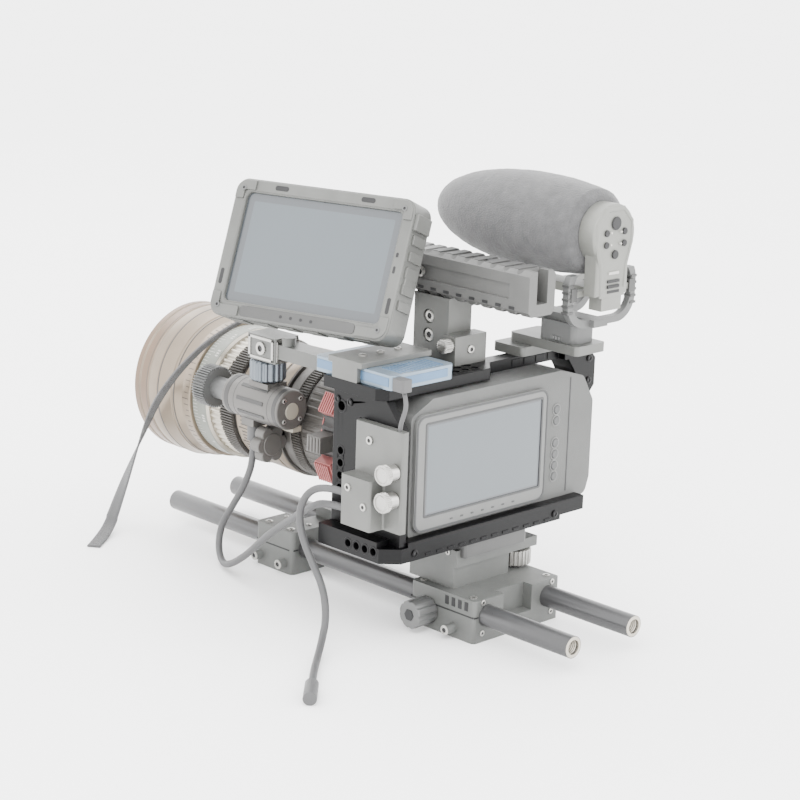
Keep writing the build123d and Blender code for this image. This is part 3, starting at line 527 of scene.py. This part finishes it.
lock = Piece("lens_lock_ring", "lens_lock", MOTOR_DARK, "lens_dark")
lock.gear(49.2 * MM, 34.1 * MM, 105 * MM, 121 * MM, lens_at, 36, 1.4 * MM)
lock.done(bevel=0.2)
tabs = Piece("lens_lock_tabs", "lens_lock", RED, "tab_red")
for angle in (150.0, 202.0):
    a = math.radians(angle)
    out = Vector((math.cos(a), 0, math.sin(a)))
    matrix = facing(Vector((0, 0.113, 0.110)) + out * 0.052, out, "Y")
    tabs.box_mm((-8, -7.4, -6), (8, 7.4, 3.6), matrix)
    for k in range(-3, 4):
        tabs.box_mm((k * 2.1 - 0.55, -7.2, 3.4), (k * 2.1 + 0.55, 7.2, 5.6),
                    matrix)
tabs.done(["locking_ring"], bevel=0.35)
wing = Piece("lens_lock_wing", "lens_lock", MOTOR, "lens_dark")
wing.box_mm((-63, 106, 105), (-47, 120, 117))
for k in range(4):
    wing.box_mm((-63.8, 107.5 + 3.2 * k, 105.6), (-62.8, 109.2 + 3.2 * k, 116.4))
wing.done(bevel=0.8)
trim = Piece("lens_lock_trim", "lens_lock", RED, "tab_red")
trim.tube(mm([(40, 121), (48.4, 121), (48.4, 121.7), (40, 121.7)]), lens_at, 96)
trim.done(bevel=0)

# ---- focus motor --------------------------------------------------------------------------------
MOTOR_X, MOTOR_Z = -59.0606, 129.1900
motor_at = facing((MOTOR_X * MM, 0, MOTOR_Z * MM), AX["y"])
pinion = Piece("pinion", "focus_pinion", KNOB, "knob_grey")
pinion.gear(15.2 * MM, 4 * MM, 219.8 * MM, 232.4 * MM, motor_at, 45, 1.5 * MM)
pinion.disc(3 * MM, 191 * MM, 221 * MM, motor_at, 24)
pinion.disc(8 * MM, 201.2 * MM, 221 * MM, motor_at, 32)
pinion.disc(6 * MM, 232 * MM, 232.6 * MM, motor_at, 32)
pinion.done(["motor_gear"], bevel=0)
casing = Piece("motor_bands", "camera", MOTOR_DARK, "motor_grey")
for y0, y1, r in ((141.6, 146, 14.7), (150, 151.2, 14.65), (192, 197, 14.75), (186, 187.2, 14.65)):
    casing.tube(mm([(r - 1, y0), (r, y0 + 0.3), (r, y1 - 0.3), (r - 1, y1)]), motor_at, 64)
for i in range(9):
    spin = motor_at @ Matrix.Rotation(math.radians(40 * i + 12), 4, "Z")
    casing.box_mm((14, -1.4, 155), (15.1, 1.4, 183), spin)
casing.done(bevel=0.3)
screws = Piece("motor_screws", "camera", SILVER, "screw_silver")
dark = Piece("screw_recesses", "camera", SILVER_DARK, "screw_silver")
for i in range(4):
    spin = math.radians(90 * i + 45)
    screws.socket_screw((MOTOR_X * MM + 0.0105 * math.cos(spin), 0.140,
                         MOTOR_Z * MM + 0.0105 * math.sin(spin)),
                        (0, -1, 0), 1.7 * MM, 0.9 * MM, dark)
oval = Piece("motor_window", "camera", CREAM, "motor_grey")
oval.disc(6.2 * MM, -140.9 * MM, -139.6 * MM, facing((MOTOR_X * MM, 0, (MOTOR_Z - 1) * MM), (0, -1, 0)), 32)
oval.box_mm((-57, 141, 112), (-49, 152, 116))
oval.done(bevel=0.5)
knob = Piece("motor_lock_knob", "motor_lock", STEEL_BLUE, "motor_grey")
knob_at = facing((MOTOR_X * MM, 0.166, 0), AX["z"])
knob.tube(mm([(5.06, 146), (11, 146), (12.9, 147.4), (12.9, 159.6), (11.4, 161), (5.06, 161)]), knob_at, 72,
          wave=lambda i, r: r - (0.9 * MM if i % 4 in (2, 3) and r > 10 * MM else 0))
knob.done(["motor_knob"], bevel=0.2)
screws.socket_screw((MOTOR_X * MM - 0.011, 0.161, 0.171), (-1, 0, 0), 4.6 * MM, 1.4 * MM, dark)
screws.socket_screw((MOTOR_X * MM - 0.002, 0.146, 0.173), (0, -1, 0), 3.0 * MM, 1.0 * MM, dark)
frame_plate = Piece("motor_bracket_plate", "camera", SILVER, "screw_silver")
for low, high in (((-70.8, 148, 163), (-70.0, 174, 164.8)), ((-70.8, 148, 177.2), (-70.0, 174, 179)),
                  ((-70.8, 148, 163), (-70.0, 150, 179)), ((-70.8, 172, 163), (-70.0, 174, 179)),
                  ((-69, 145.4, 163.2), (-49, 146.1, 164.6)), ((-69, 145.4, 177.4), (-49, 146.1, 178.8)),
                  ((-69, 145.4, 163.2), (-67.6, 146.1, 178.8)), ((-50.4, 145.4, 163.2), (-49, 146.1, 178.8))):
    frame_plate.box([c * MM for c in low], [c * MM for c in high])
frame_plate.done(bevel=0.15)
hub = Piece("motor_bracket_lobes", "camera", MOTOR, "motor_grey")
for i in range(6):
    a = math.radians(60 * i)
    hub.disc(5.4 * MM, 0, 9 * MM, facing(((-57 + 8.4 * math.cos(a)) * MM, 0.171,
                                          (99 + 8.4 * math.sin(a)) * MM),
                                         (0, -1, 0)), 20)
hub.disc(9 * MM, 0, 10.4 * MM, facing((-0.057, 0.172, 0.099), (0, -1, 0)), 40)
hub.done(bevel=0.4)

# ---- monitor ------------------------------------------------------------------------------------
yaw, tilt = math.radians(-75), math.radians(22)
mon_x = Vector((math.cos(yaw), math.sin(yaw), 0))
mon_z = Vector((math.sin(yaw) * math.cos(tilt), -math.cos(yaw) * math.cos(tilt), math.sin(tilt)))
mon_y = mon_z.cross(mon_x)
mon_at = Matrix(((mon_x.x, mon_y.x, mon_z.x, -0.0819), (mon_x.y, mon_y.y, mon_z.y, 0.0983),
                 (mon_x.z, mon_y.z, mon_z.z, 0.2464), (0, 0, 0, 1)))


def rounded(half_w, half_h, radius, steps=6, cx=0.0, cy=0.0):
    points = []
    for sx, sy, start in ((1, 1, 0), (-1, 1, 90), (-1, -1, 180), (1, -1, 270)):
        for k in range(steps + 1):
            a = math.radians(start + 90 * k / steps)
            points.append(((cx + sx * (half_w - radius) + radius * math.cos(a)) * MM,
                           (cy + sy * (half_h - radius) + radius * math.sin(a)) * MM))
    return points


def loft(piece, loops, matrix, cap_first=False, cap_last=False):
    """Joins rounded rectangles (half width, half height, corner, depth, cx, cy) in order."""
    verts, count = [], None
    for half_w, half_h, radius, depth, *shift in loops:
        ring = rounded(half_w, half_h, radius, 6, *(shift or (0, 0)))
        count = len(ring)
        verts += [(x, y, depth * MM) for x, y in ring]
    faces = []
    for i in range(len(loops) - 1):
        for j in range(count):
            k = (j + 1) % count
            faces.append((i * count + j, i * count + k, (i + 1) * count + k, (i + 1) * count + j))
    if cap_first:
        faces.append(list(range(count))[::-1])
    if cap_last:
        faces.append([(len(loops) - 1) * count + j for j in range(count)])
    return piece.add(verts, faces, matrix)


rim = Piece("monitor_rim", "monitor", RIG, "rig_grey")
loft(rim, [(70.0, 47.2, 8.6, -1.0), (70.2, 47.4, 8.8, 0.2), (69.4, 46.6, 8, 0.9), (62.6, 39.0, 5, 0.9, 0, 1),
           (61.4, 37.8, 4.4, -0.6, 0, 1), (61.4, 37.8, 4.4, -2.6, 0, 1)], mon_at)
for sx in (-1, 1):
    for k in range(5):
        y = (-22 + 11 * k) * MM
        x = sx * 70.5 * MM
        rim.box((min(x, x + sx * 1.6 * MM), y - 3.2 * MM, -19 * MM),
                (max(x, x + sx * 1.6 * MM), y + 3.2 * MM, -3 * MM),
                mon_at)
for k in range(6):
    x = (-50 + 20 * k) * MM
    rim.box((x - 6 * MM, 47.7 * MM, -18 * MM), (x + 6 * MM, 48.6 * MM, -4 * MM), mon_at)
    rim.box((x - 6 * MM, -48.6 * MM, -18 * MM), (x + 6 * MM, -47.7 * MM, -4 * MM), mon_at)
rim.done(bevel=0.3)
edge = Piece("monitor_screen_border", "monitor", SCREEN_EDGE, "screen_dark")
loft(edge, [(61.3, 37.7, 4.3, -2.4, 0, 1), (55.6, 31.6, 1.2, -2.4, 0, 1.6)], mon_at)
edge.done(bevel=0)
panel = Piece("monitor_screen", "monitor", SCREEN, "screen_dark")
loft(panel, [(55.6, 31.6, 1.2, -2.5, 0, 1.6), (55.6, 31.6, 1.2, -2.4, 0, 1.6)], mon_at, cap_last=True)
panel.done(bevel=0)
corners = Piece("monitor_corner_guards", "monitor", RIG, "rig_grey")
GUARD_R = 8.0
for sx in (-1, 1):
    for sy, reach_x, reach_y in ((1, 15, 13), (-1, 23, 15)):
        outline = [(69.4 - reach_x, 46.6)]
        for k in range(9):
            angle = math.radians(90 - 11.25 * k)
            outline.append((69.4 - GUARD_R + GUARD_R * math.cos(angle),
                            46.6 - GUARD_R + GUARD_R * math.sin(angle)))
        outline += [(69.4, 46.6 - reach_y), (62.8, 46.6 - reach_y), (62.8, 39.8), (69.4 - reach_x, 39.8)]
        outline = [(sx * x * MM, sy * y * MM) for x, y in outline]
        if sx * sy > 0:
            outline.reverse()
        count = len(outline)
        corners.add([(x, y, z * MM) for z in (0.7, 2.4) for x, y in outline],
                    [list(range(count))[::-1], list(range(count, 2 * count))]
                    + [(i, (i + 1) % count, count + (i + 1) % count, count + i) for i in range(count)],
                    mon_at)
corners.box_mm((69.8, 28, -20), (73.0, 39, -1), mon_at)
corners.box_mm((70.0, -10, -17), (72.0, 4, -4), mon_at)
corners.done(bevel=0.6)
band = Piece("monitor_lower_band", "monitor", RIG_DARK, "monitor_grey")
loft(band, [(45.5, 3.6, 2.6, 0.6, 0, -42.4), (45.5, 3.6, 2.6, 1.3, 0, -42.4),
            (44.7, 2.8, 2.0, 1.6, 0, -42.4)], mon_at, cap_last=True)
band.box_mm((-40, -39.2, 0.8), (40, -38.5, 1.5), mon_at)
band.done(bevel=0.2)
# Dark patches stand for the rim slots and rear vents, painted shade; four dark dots sit on the lower band.
slots = Piece("monitor_slots", "monitor", SILVER_DARK, "monitor_grey")
for x, y, w, h in ((-34, 43.4, 5.4, 1.7), (34, 43.4, 5.4, 1.7), (-66.2, -21, 1.3, 5.4), (66.2, -24, 1.3, 5.4),
                   (64.6, 0, 0.9, 2.4), (64.6, 10, 0.9, 1.6)):
    loft(slots, [(w, h, min(w, h) * 0.95, 0.7, x, y), (w, h, min(w, h) * 0.95, 1.05, x, y)], mon_at,
         cap_last=True)
for x in (-12, -4, 4, 12):
    loft(slots, [(1.1, 1.1, 1.0, 1.2, x, -42.4), (1.1, 1.1, 1.0, 1.75, x, -42.4)], mon_at, cap_last=True)
for k in range(9):
    for y in (-19, 19):
        slots.box_mm((-40 + 10 * k - 3.4, y - 1, -22.5),
                     (-40 + 10 * k + 3.4, y + 1, -21.9), mon_at)
slots.done(bevel=0)
mon_screws = Piece("monitor_screws", "monitor", KNOB, "screw_silver")
mon_dark = Piece("monitor_screw_recesses", "monitor", SILVER_DARK, "screw_silver")
for x in (-62, 62):
    for y in (-40, 40):
        mon_screws.socket_screw(mon_at @ Vector((x * 1.02 * MM, y * 1.02 * MM, 2.3 * MM)), mon_z, 1.9 * MM,
                                0.6 * MM, mon_dark)
        mon_screws.socket_screw(mon_at @ Vector((x * MM, y * MM, -22 * MM)), -mon_z, 2.4 * MM, 0.8 * MM,
                                mon_dark)
mon_screws.done(bevel=0)
mon_dark.done(bevel=0)
yoke_knob = Piece("monitor_tilt_knob", "monitor", KNOB, "knob_grey")
pivot = Vector((-0.0514499, 0.106459, 0.233663))
for sign in (-1, 1):
    yoke_knob.grip(5.6 * MM, 14.4 * MM, 17.6 * MM, facing(pivot, mon_x * sign), 18, 0.5 * MM)
yoke_knob.done(bevel=0.2)

# ---- microphone ---------------------------------------------------------------------------------
MIC_X, MIC_Z = 0.066, 0.267
mic_at = facing((MIC_X, 0, MIC_Z), AX["y"])
foam = Piece("foam_windshield", "camera", FOAM, "foam_grey")
profile = []
for k in range(71):
    y = -23.6 + (121.2 + 23.6) * k / 70
    share = abs(y - 28) / (94.0 if y > 28 else 93.0)
    profile.append((32.9 * max(0.0, 1 - share ** 2.15) ** (1 / 2.1), y))
profile = [(11, -23.6), (24, -24.0)] + profile[1:] + [(2.4, 121.6), (0.4, 121.9)]
foam.tube(mm(profile), mic_at, 120, closed=False)
for vert in foam.bm.verts:
    local = mic_at.inverted() @ vert.co
    radial = Vector((local.x, local.y, 0))
    if radial.length > 0.011:
        shake = noise.noise(vert.co * 60) * 0.35 + noise.noise(vert.co * 350) * 0.22
        vert.co += (mic_at.to_3x3() @ radial.normalized()) * shake * MM
foam_object = foam.done(["mic_windshield"], bevel=0, smooth=60)

rear = Piece("mic_rear_cap", "camera", MIC, "mic_grey")
MIC_PANEL_Y, MIC_FACE_Y = -0.0375, -0.0384
keystone = [(-9, 19), (9, 19), (18.5, 9), (19, -6), (13.5, -24), (12.5, -42), (-12.5, -42), (-13.5, -24),
            (-19, -6),
            (-18.5, 9)]


def keyed(scale, depth):
    return [(MIC_X + x * scale * MM, MIC_PANEL_Y - depth * MM, MIC_Z + (z * scale) * MM)
            for x, z in keystone]


loops = [keyed(1.0, -2.0), keyed(1.0, 0.6), keyed(0.94, 1.5), keyed(0.86, 1.5), keyed(0.84, 0.9)]
count = len(keystone)
rear.add([v for loop in loops for v in loop],
         [(i * count + j, i * count + (j + 1) % count, (i + 1) * count + (j + 1) % count, (i + 1) * count + j)
          for i in range(len(loops) - 1) for j in range(count)] + [[4 * count + j for j in range(count)]],
         Matrix.Identity(4))
rear.done(bevel=0.25)
knobs = Piece("mic_controls", "camera", SILVER_DARK, "plug_grey")
lights = Piece("mic_lights", "camera", TICK, "screw_silver")
knobs.disc(4.6 * MM, 0, 1.4 * MM, facing((MIC_X, MIC_FACE_Y, MIC_Z + 8 * MM), (0, -1, 0)), 32)
for dx, dz in ((-9, 2), (9, 2), (-9, -6), (9, -6)):
    knobs.disc(2.3 * MM, 0, 1.3 * MM, facing((MIC_X + dx * MM, MIC_FACE_Y, MIC_Z + dz * MM), (0, -1, 0)), 24)
    lights.disc(0.7 * MM, 0, 1.5 * MM, facing((MIC_X + dx * 0.55 * MM, MIC_FACE_Y, MIC_Z + dz * MM),
                                              (0, -1, 0)), 12)
knobs.disc(3.0 * MM, 0, 1.6 * MM, facing((MIC_X, MIC_FACE_Y, MIC_Z - 13 * MM), (0, -1, 0)), 28)
for z in (236, 232.5, 229):
    knobs.box_mm((60, -39.4, z - 1.0), (72, -38.3, z + 1.0))
lights.box_mm((61, -39.2, 240.6), (71, -38.3, 242.4))
knobs.done(bevel=0.3)
lights.done(bevel=0)
bands = Piece("lyre_cushions", "camera", RIG_DARK, "lyre_plastic")
for y in (-26, 12):
    for x in (41, 100):
        bands.box_mm((x - 2.8, y - 1.2, 222.5), (x + 2.8, y + 6.2, 231.5))
    for k in range(5):
        for x in (38.4, 102.6):
            bands.box_mm((x - 2.9, y - 0.6, 214 + 4.6 * k),
                         (x + 2.9, y + 5.6, 215.8 + 4.6 * k))
bands.done(bevel=0.3)
shoe = Piece("shoe_lock_wheel", "camera", KNOB, "knob_grey")
shoe.grip(12.2 * MM, 189.2 * MM, 193.6 * MM, facing((MIC_X, 0, 0), AX["z"]), 30, 0.6 * MM)
shoe.done(bevel=0.2)

# ---- camera body ----------------------------------------------------------------------------------
LCD_X, LCD_Z = -10.7, 119.0
rear_at = Matrix(((1, 0, 0, LCD_X * MM), (0, 0, -1, 0), (0, 1, 0, LCD_Z * MM), (0, 0, 0, 1)))
line_ring = Piece("lcd_frame_line", "camera", BEZEL_LINE, "bezel_grey")
loft(line_ring, [(63.0, 39.6, 7, -0.4, -1.5, -2), (63.0, 39.6, 7, 0.35, -1.5, -2),
                 (61.6, 38.2, 6.2, 0.35, -1.5, -2),
                 (61.6, 38.2, 6.2, -0.4, -1.5, -2)], rear_at)
loft(line_ring, [(56.6, 32.4, 1.6, -0.4), (56.6, 32.4, 1.6, 0.25), (55.2, 31.0, 1.2, 0.25),
                 (55.2, 31.0, 1.2, -0.6)],
     rear_at)
line_ring.done(bevel=0.15)
display = Piece("lcd_panel", "camera", SCREEN, "screen_dark")
loft(display, [(53.6, 29.6, 0.8, -0.42), (53.6, 29.6, 0.8, -0.36)], rear_at, cap_last=True)
display.done(bevel=0)
strip = Piece("lcd_bezel_foot", "camera", BEZEL_LINE, "bezel_grey")
for k in range(7):
    strip.box_mm((LCD_X - 30 + 10 * k - 1.2, -0.3, 81.2), (LCD_X - 30 + 10 * k + 1.2, 0.1, 82.2))
strip.done(bevel=0)
BUTTON_X, BUTTON_FACE = 0.0628, 0.003
BUTTON_Z = (139.0, 131.0, 115.0, 107.0, 98.8, 91.0)


def key_at(z):
    return Matrix.Translation((BUTTON_X, BUTTON_FACE, z * MM)) @ Matrix.Rotation(math.radians(90), 4, "X")


plate = Piece("button_plate", "camera", BEZEL, "camera_grey")
for z in BUTTON_Z:
    plate.tube(mm([(3.25, -0.2), (3.25, 0.5), (4.1, 0.5), (4.3, -0.2)]), key_at(z), 32)
plate.done(bevel=0)
seams = Piece("body_seams", "camera", BEZEL_LINE, "camera_grey")
seams.box_mm((76, 2.6, 78), (77, 3.2, 160))
for k in range(7):
    seams.box_mm((100.6, 34 + 3.4 * k, 92), (101.25, 35.6 + 3.4 * k, 132))
    seams.box_mm((-30 + 9 * k, 36, 165.7), (-24 + 9 * k, 58, 166.3))
seams.done(bevel=0.15)
for i, z in enumerate(BUTTON_Z, 1):
    cap = Piece(f"rear_key_cap_{i}", f"rear_key_{i}", RUBBER, "button_grey")
    cap.tube(mm([(2.95, -4.4), (2.95, 0.7), (2.5, 1.2), (1.6, 1.25), (0.3, 1.05)]),
             key_at(z), 32, closed=False)
    cap.done([f"rear_button_{i}"], bevel=0)
grip = Piece("grip_texture", "camera", BODY, "camera_grey")
for k in range(9):
    z = (86 + 6.6 * k) * MM
    grip.box((100.4 * MM, 63 * MM, z), (101.8 * MM, 76 * MM, z + 3.6 * MM))
    grip.box((72 * MM, 83.4 * MM, z), (96 * MM, 84.8 * MM, z + 3.6 * MM))
grip.done(bevel=0.7)

# ---- cage, handle and base details -------------------------------------------------------------------
holes = Piece("cage_hole_rims", "camera", BLACK, "anodised_black")


def hole_rim(place, direction, radius):
    holes.tube([(radius, 0.25 * MM), (radius, -0.6 * MM), (radius * 1.5, -0.6 * MM), (radius * 1.5, 0),
                (radius * 1.42, 0.25 * MM)], facing(place, direction), 24)


for y in (9.0, 17.0, 25.0, 33.0):
    hole_rim((-0.103, y * MM, 0.069), (-1, 0, 0), 2.6 * MM)
for z in (100, 108.5, 117, 125.5):
    hole_rim((-0.092, 0.054, z * MM), (-1, 0, 0), 2.6 * MM)
for x in (-24.0, -15.0, -6.0):
    for y in (17.0, 24.0):
        hole_rim((x * MM, y * MM, 0.176), (0, 0, 1), 2.6 * MM)
hole_rim((-0.092, 0.054, 0.156), (-1, 0, 0), 3.2 * MM)
holes.done(bevel=0)
cage_screws = Piece("cage_screws", "camera", BLACK, "anodised_black")
for place, direction in (((-0.080, -0.006, 0.067), (0, -1, 0)), ((0.056, -0.006, 0.067), (0, -1, 0)),
                         ((-0.092, 0.046, 0.160), (-1, 0, 0)), ((-0.092, 0.058, 0.160), (-1, 0, 0)),
                         ((-0.092, 0.046, 0.090), (-1, 0, 0)), ((-0.092, 0.057, 0.086), (-1, 0, 0)),
                         ((0.110, 0.016, 0.166), (0, -1, 0)), ((0.110, 0.016, 0.150), (0, -1, 0)),
                         ((0.070, 0.028, 0.176), (0, 0, 1)), ((0.060, 0.028, 0.176), (0, 0, 1)),
                         ((-0.030, 0.040, 0.176), (0, 0, 1))):
    cage_screws.socket_screw(place, direction, 2.6 * MM, 0.9 * MM, dark)
cage_screws.done(bevel=0)
lightening = Piece("cage_grooves", "camera", BLACK, "anodised_black")
for k in range(12):
    lightening.box_mm((-70 + 10.5 * k, -6.5, 63.4), (-64 + 10.5 * k, -5.9, 65.2))
for k in range(4):
    lightening.box_mm((36 + 12 * k, 21.5, 169.6), (45 + 12 * k, 22.1, 174.4))
lightening.done(bevel=0.2)

side_screws = Piece("handle_side_screws", "camera", SILVER, "screw_silver")
for y in (64, 75):
    side_screws.socket_screw((-0.0124, y * MM, 0.235), (-1, 0, 0), 3.7 * MM, 1.6 * MM, dark)
side_screws.done(["fasteners"], bevel=0)
# Dark discs on the handle top stand for its holes, painted shade; small dark strips run along its side.
top_holes = Piece("handle_top_hole_shade", "camera", SILVER_DARK, "handle_grey")
for k in range(7):
    y = (-18 + 15 * k) * MM
    loft(top_holes, [(2.8, 2.8, 2.7, 0.02), (2.8, 2.8, 2.7, 0.2)], Matrix.Translation((0, y, 0.250)),
         cap_last=True)
for k in range(8):
    y = (-20 + 12 * k) * MM
    top_holes.box((-12.8 * MM, y - 2.4 * MM, 0.2236), (-12.3 * MM, y + 2.4 * MM, 0.2256))
top_holes.done(bevel=0)
pad = Piece("handle_pads", "camera", RIG_DARK, "handle_grey")
for k in range(7):
    y = (-24.5 + 12 * k) * MM
    pad.box((-9 * MM, y + 2.6 * MM, 249.6 * MM), (9 * MM, y + 9.6 * MM, 250.5 * MM))
    pad.box((-9 * MM, y + 2.6 * MM, 219.5 * MM), (9 * MM, y + 9.6 * MM, 220.4 * MM))
pad.done(bevel=0.3)
for place, direction, radius in (((-0.0092, 0.057, 0.205), (-1, 0, 0), 4.2),
                                 ((-0.0092, 0.057, 0.192), (-1, 0, 0), 4.2),
                                 ((0.0, 0.027, 0.186), (0, -1, 0), 3.0),
                                 ((-0.066, 0.046, 0.190), (0, 0, 1), 2.6),
                                 ((-0.050, 0.046, 0.190), (0, 0, 1), 2.6),
                                 ((-0.082, 0.046, 0.190), (0, 0, 1), 2.6),
                                 ((-0.0983, 0.020, 0.141), (-1, 0, 0), 2.8),
                                 ((-0.110, 0.012, 0.100), (-1, 0, 0), 2.6),
                                 ((-0.110, 0.027, 0.110), (-1, 0, 0), 2.6)):
    screws.socket_screw(place, direction, radius * MM, 1.0 * MM, dark)
screws.done(bevel=0)
dark.done(bevel=0)

post_knob = Piece("post_lock_pin", "post_lock", SILVER, "screw_silver")
post_at = facing((0, 0.032, 0.190), (-1, 0, 0))
post_knob.grip(5 * MM, 15.4 * MM, 23 * MM, post_at, 20, 0.5 * MM)
post_knob.disc(2.5 * MM, 10.3 * MM, 16 * MM, post_at, 20)
post_knob.done(["clamp_knob"], bevel=0.15)
for label, z in (("upper", 125.0), ("lower", 106.5)):
    thumb = Piece(f"thumbscrew_{label}_head", f"clamp_screw_{label}", SILVER, "screw_silver")
    thumb_at = facing((0, -0.004, z * MM), (-1, 0, 0))
    thumb.grip(6.8 * MM, 105.6 * MM, 110.6 * MM, thumb_at, 30, 0.45 * MM)
    thumb.tube(mm([(0.4, 110.5), (4.6, 110.5), (4.9, 111.2), (5.4, 111.2), (5.6, 110.4), (0.4, 110.4)]),
               thumb_at, 48)
    thumb.disc(5.6 * MM, 98.4 * MM, 106 * MM, thumb_at, 40)
    thumb.disc(2.5 * MM, 93.3 * MM, 99 * MM, thumb_at, 20)
    thumb.done([f"thumbscrew_{label}"], bevel=0.1)

drive_rails = Piece("drive_rails", "camera", DRIVE_EDGE, "drive_silver")
drive_rails.box_mm((-94.9, 8, 178.2), (-94.2, 76, 184.2))
drive_rails.box_mm((-37.8, 8, 178.2), (-37.1, 76, 184.2))
drive_rails.box_mm((-88, 4.6, 178.4), (-44, 5.4, 184))
for k in range(12):
    drive_rails.box_mm((-84 + 3.4 * k, 8, 185.8), (-82.4 + 3.4 * k, 26, 186.4))
drive_rails.done(bevel=0.3)

wheel = Piece("base_wheel", "lock_wheel", SILVER, "screw_silver")
wheel_at = facing((0.036, 0.012, 0), AX["z"])
wheel.grip(12 * MM, 31 * MM, 43.5 * MM, wheel_at, 24, 1.1 * MM)
wheel.disc(3 * MM, 43.4 * MM, 49.5 * MM, wheel_at, 24)
wheel.done(["base_lock_wheel"], bevel=0.3)
dial = Piece("side_knob_face", "side_knob", SILVER_DARK, "knob_grey")
dial.disc(4.2 * MM, 0, 0.6 * MM, facing((-0.060, 0.017, 0.0132), (-1, 0, 0)), 6, 0.02)
dial.done(bevel=0)
base_bits = Piece("base_screws", "base", SILVER, "screw_silver")
base_dark = Piece("base_recesses", "base", SILVER_DARK, "screw_silver")
base_bits.socket_screw((-0.050, -0.007, 0.007), (-1, 0, 0), 3.4 * MM, 0.8 * MM, base_dark)
for x in (-34, 34):
    for z in (6.5, 28):
        base_bits.socket_screw((x * MM, -0.026, z * MM), (0, -1, 0), 2.0 * MM, 0.7 * MM, base_dark)
for y in (8, 36):
    base_bits.socket_screw((-0.034, y * MM, 0.0545), (-1, 0, 0), 2.0 * MM, 0.7 * MM, base_dark)
for k in range(4):
    base_dark.box_mm((-42.4, -20 + 6 * k, 22), (-41.9, -17 + 6 * k, 28))
for side in (-1, 1):
    for y in (-19, 28):
        base_bits.socket_screw((side * 0.036, y * MM, 0.030), (0, 0, 1), 2.6 * MM, 0.5 * MM, base_dark)
    edge_a, edge_b = sorted((side * 42.15, side * 41.6))
    base_dark.box_mm((edge_a, -25, 17.9), (edge_b, 33, 18.9))
    for y_a, y_b in ((-26.15, -25.8), (33.8, 34.15)):
        edge_a, edge_b = sorted((side * 37.9, side * 41.9))
        base_dark.box_mm((edge_a, y_a, 17.9), (edge_b, y_b, 18.9))
base_bits.done(bevel=0)
base_dark.done(bevel=0)
clamp_bits = Piece("rod_clamp_screws", "rod_clamp", SILVER, "screw_silver")
clamp_dark = Piece("rod_clamp_recesses", "rod_clamp", SILVER_DARK, "screw_silver")
for y in (162, 188):
    clamp_bits.socket_screw((-0.050, y * MM, 0.008), (-1, 0, 0), 3.4 * MM, 0.8 * MM, clamp_dark)
for side in (-1, 1):
    for y in (162, 186):
        clamp_bits.socket_screw((side * 0.038, y * MM, 0.032), (0, 0, 1), 2.8 * MM, 0.6 * MM, clamp_dark)
        clamp_bits.socket_screw((side * 0.021, y * MM, 0.032), (0, 0, 1), 2.0 * MM, 0.6 * MM, clamp_dark)
    edge_a, edge_b = sorted((side * 44.15, side * 43.6))
    clamp_dark.box_mm((edge_a, 157, 17.9), (edge_b, 191, 18.9))
    for y_a, y_b in ((153.85, 154.2), (193.8, 194.15)):
        edge_a, edge_b = sorted((side * 37.9, side * 42.5))
        clamp_dark.box_mm((edge_a, y_a, 17.9), (edge_b, y_b, 18.9))
clamp_bits.done(bevel=0)
clamp_dark.done(bevel=0)
for side, body in ((-1, "left_rod"), (1, "right_rod")):
    caps = Piece(f"{body}_end_rings", body, LENS_BRIGHT, "rod_dark")
    for y, direction in ((-103, -1), (303, 1)):
        caps.tube(mm([(5.0, -1.2), (5.0, 0.25), (6.9, 0.25), (7.3, -0.2), (7.3, -1.2)]),
                  facing((side * 0.030, y * MM, 0.0184), (0, direction, 0)), 40)
    for k in range(5):
        for y, direction in ((-103, -1), (303, 1)):
            caps.tube(mm([(5.0, -2 - 1.4 * k), (4.6, -2.5 - 1.4 * k), (5.0, -3 - 1.4 * k)]),
                      facing((side * 0.030, y * MM, 0.0184), (0, direction, 0)), 32)
    caps.done(bevel=0)

# ---- floor ---------------------------------------------------------------------------------------------
floor_mesh = bpy.data.meshes.new("floor")
reach = 6.0
floor_mesh.from_pydata([(-reach, -reach, 0), (reach, -reach, 0), (reach, reach, 0), (-reach, reach, 0)], [],
                       [(0, 1, 2, 3)])
floor_mesh.materials.append(material("studio_floor", tone(252, share=1), 0.55, 0.0, 300, 0.02, 0.01, 4))
floor = bpy.data.objects.new("floor", floor_mesh)
scene.collection.objects.link(floor)
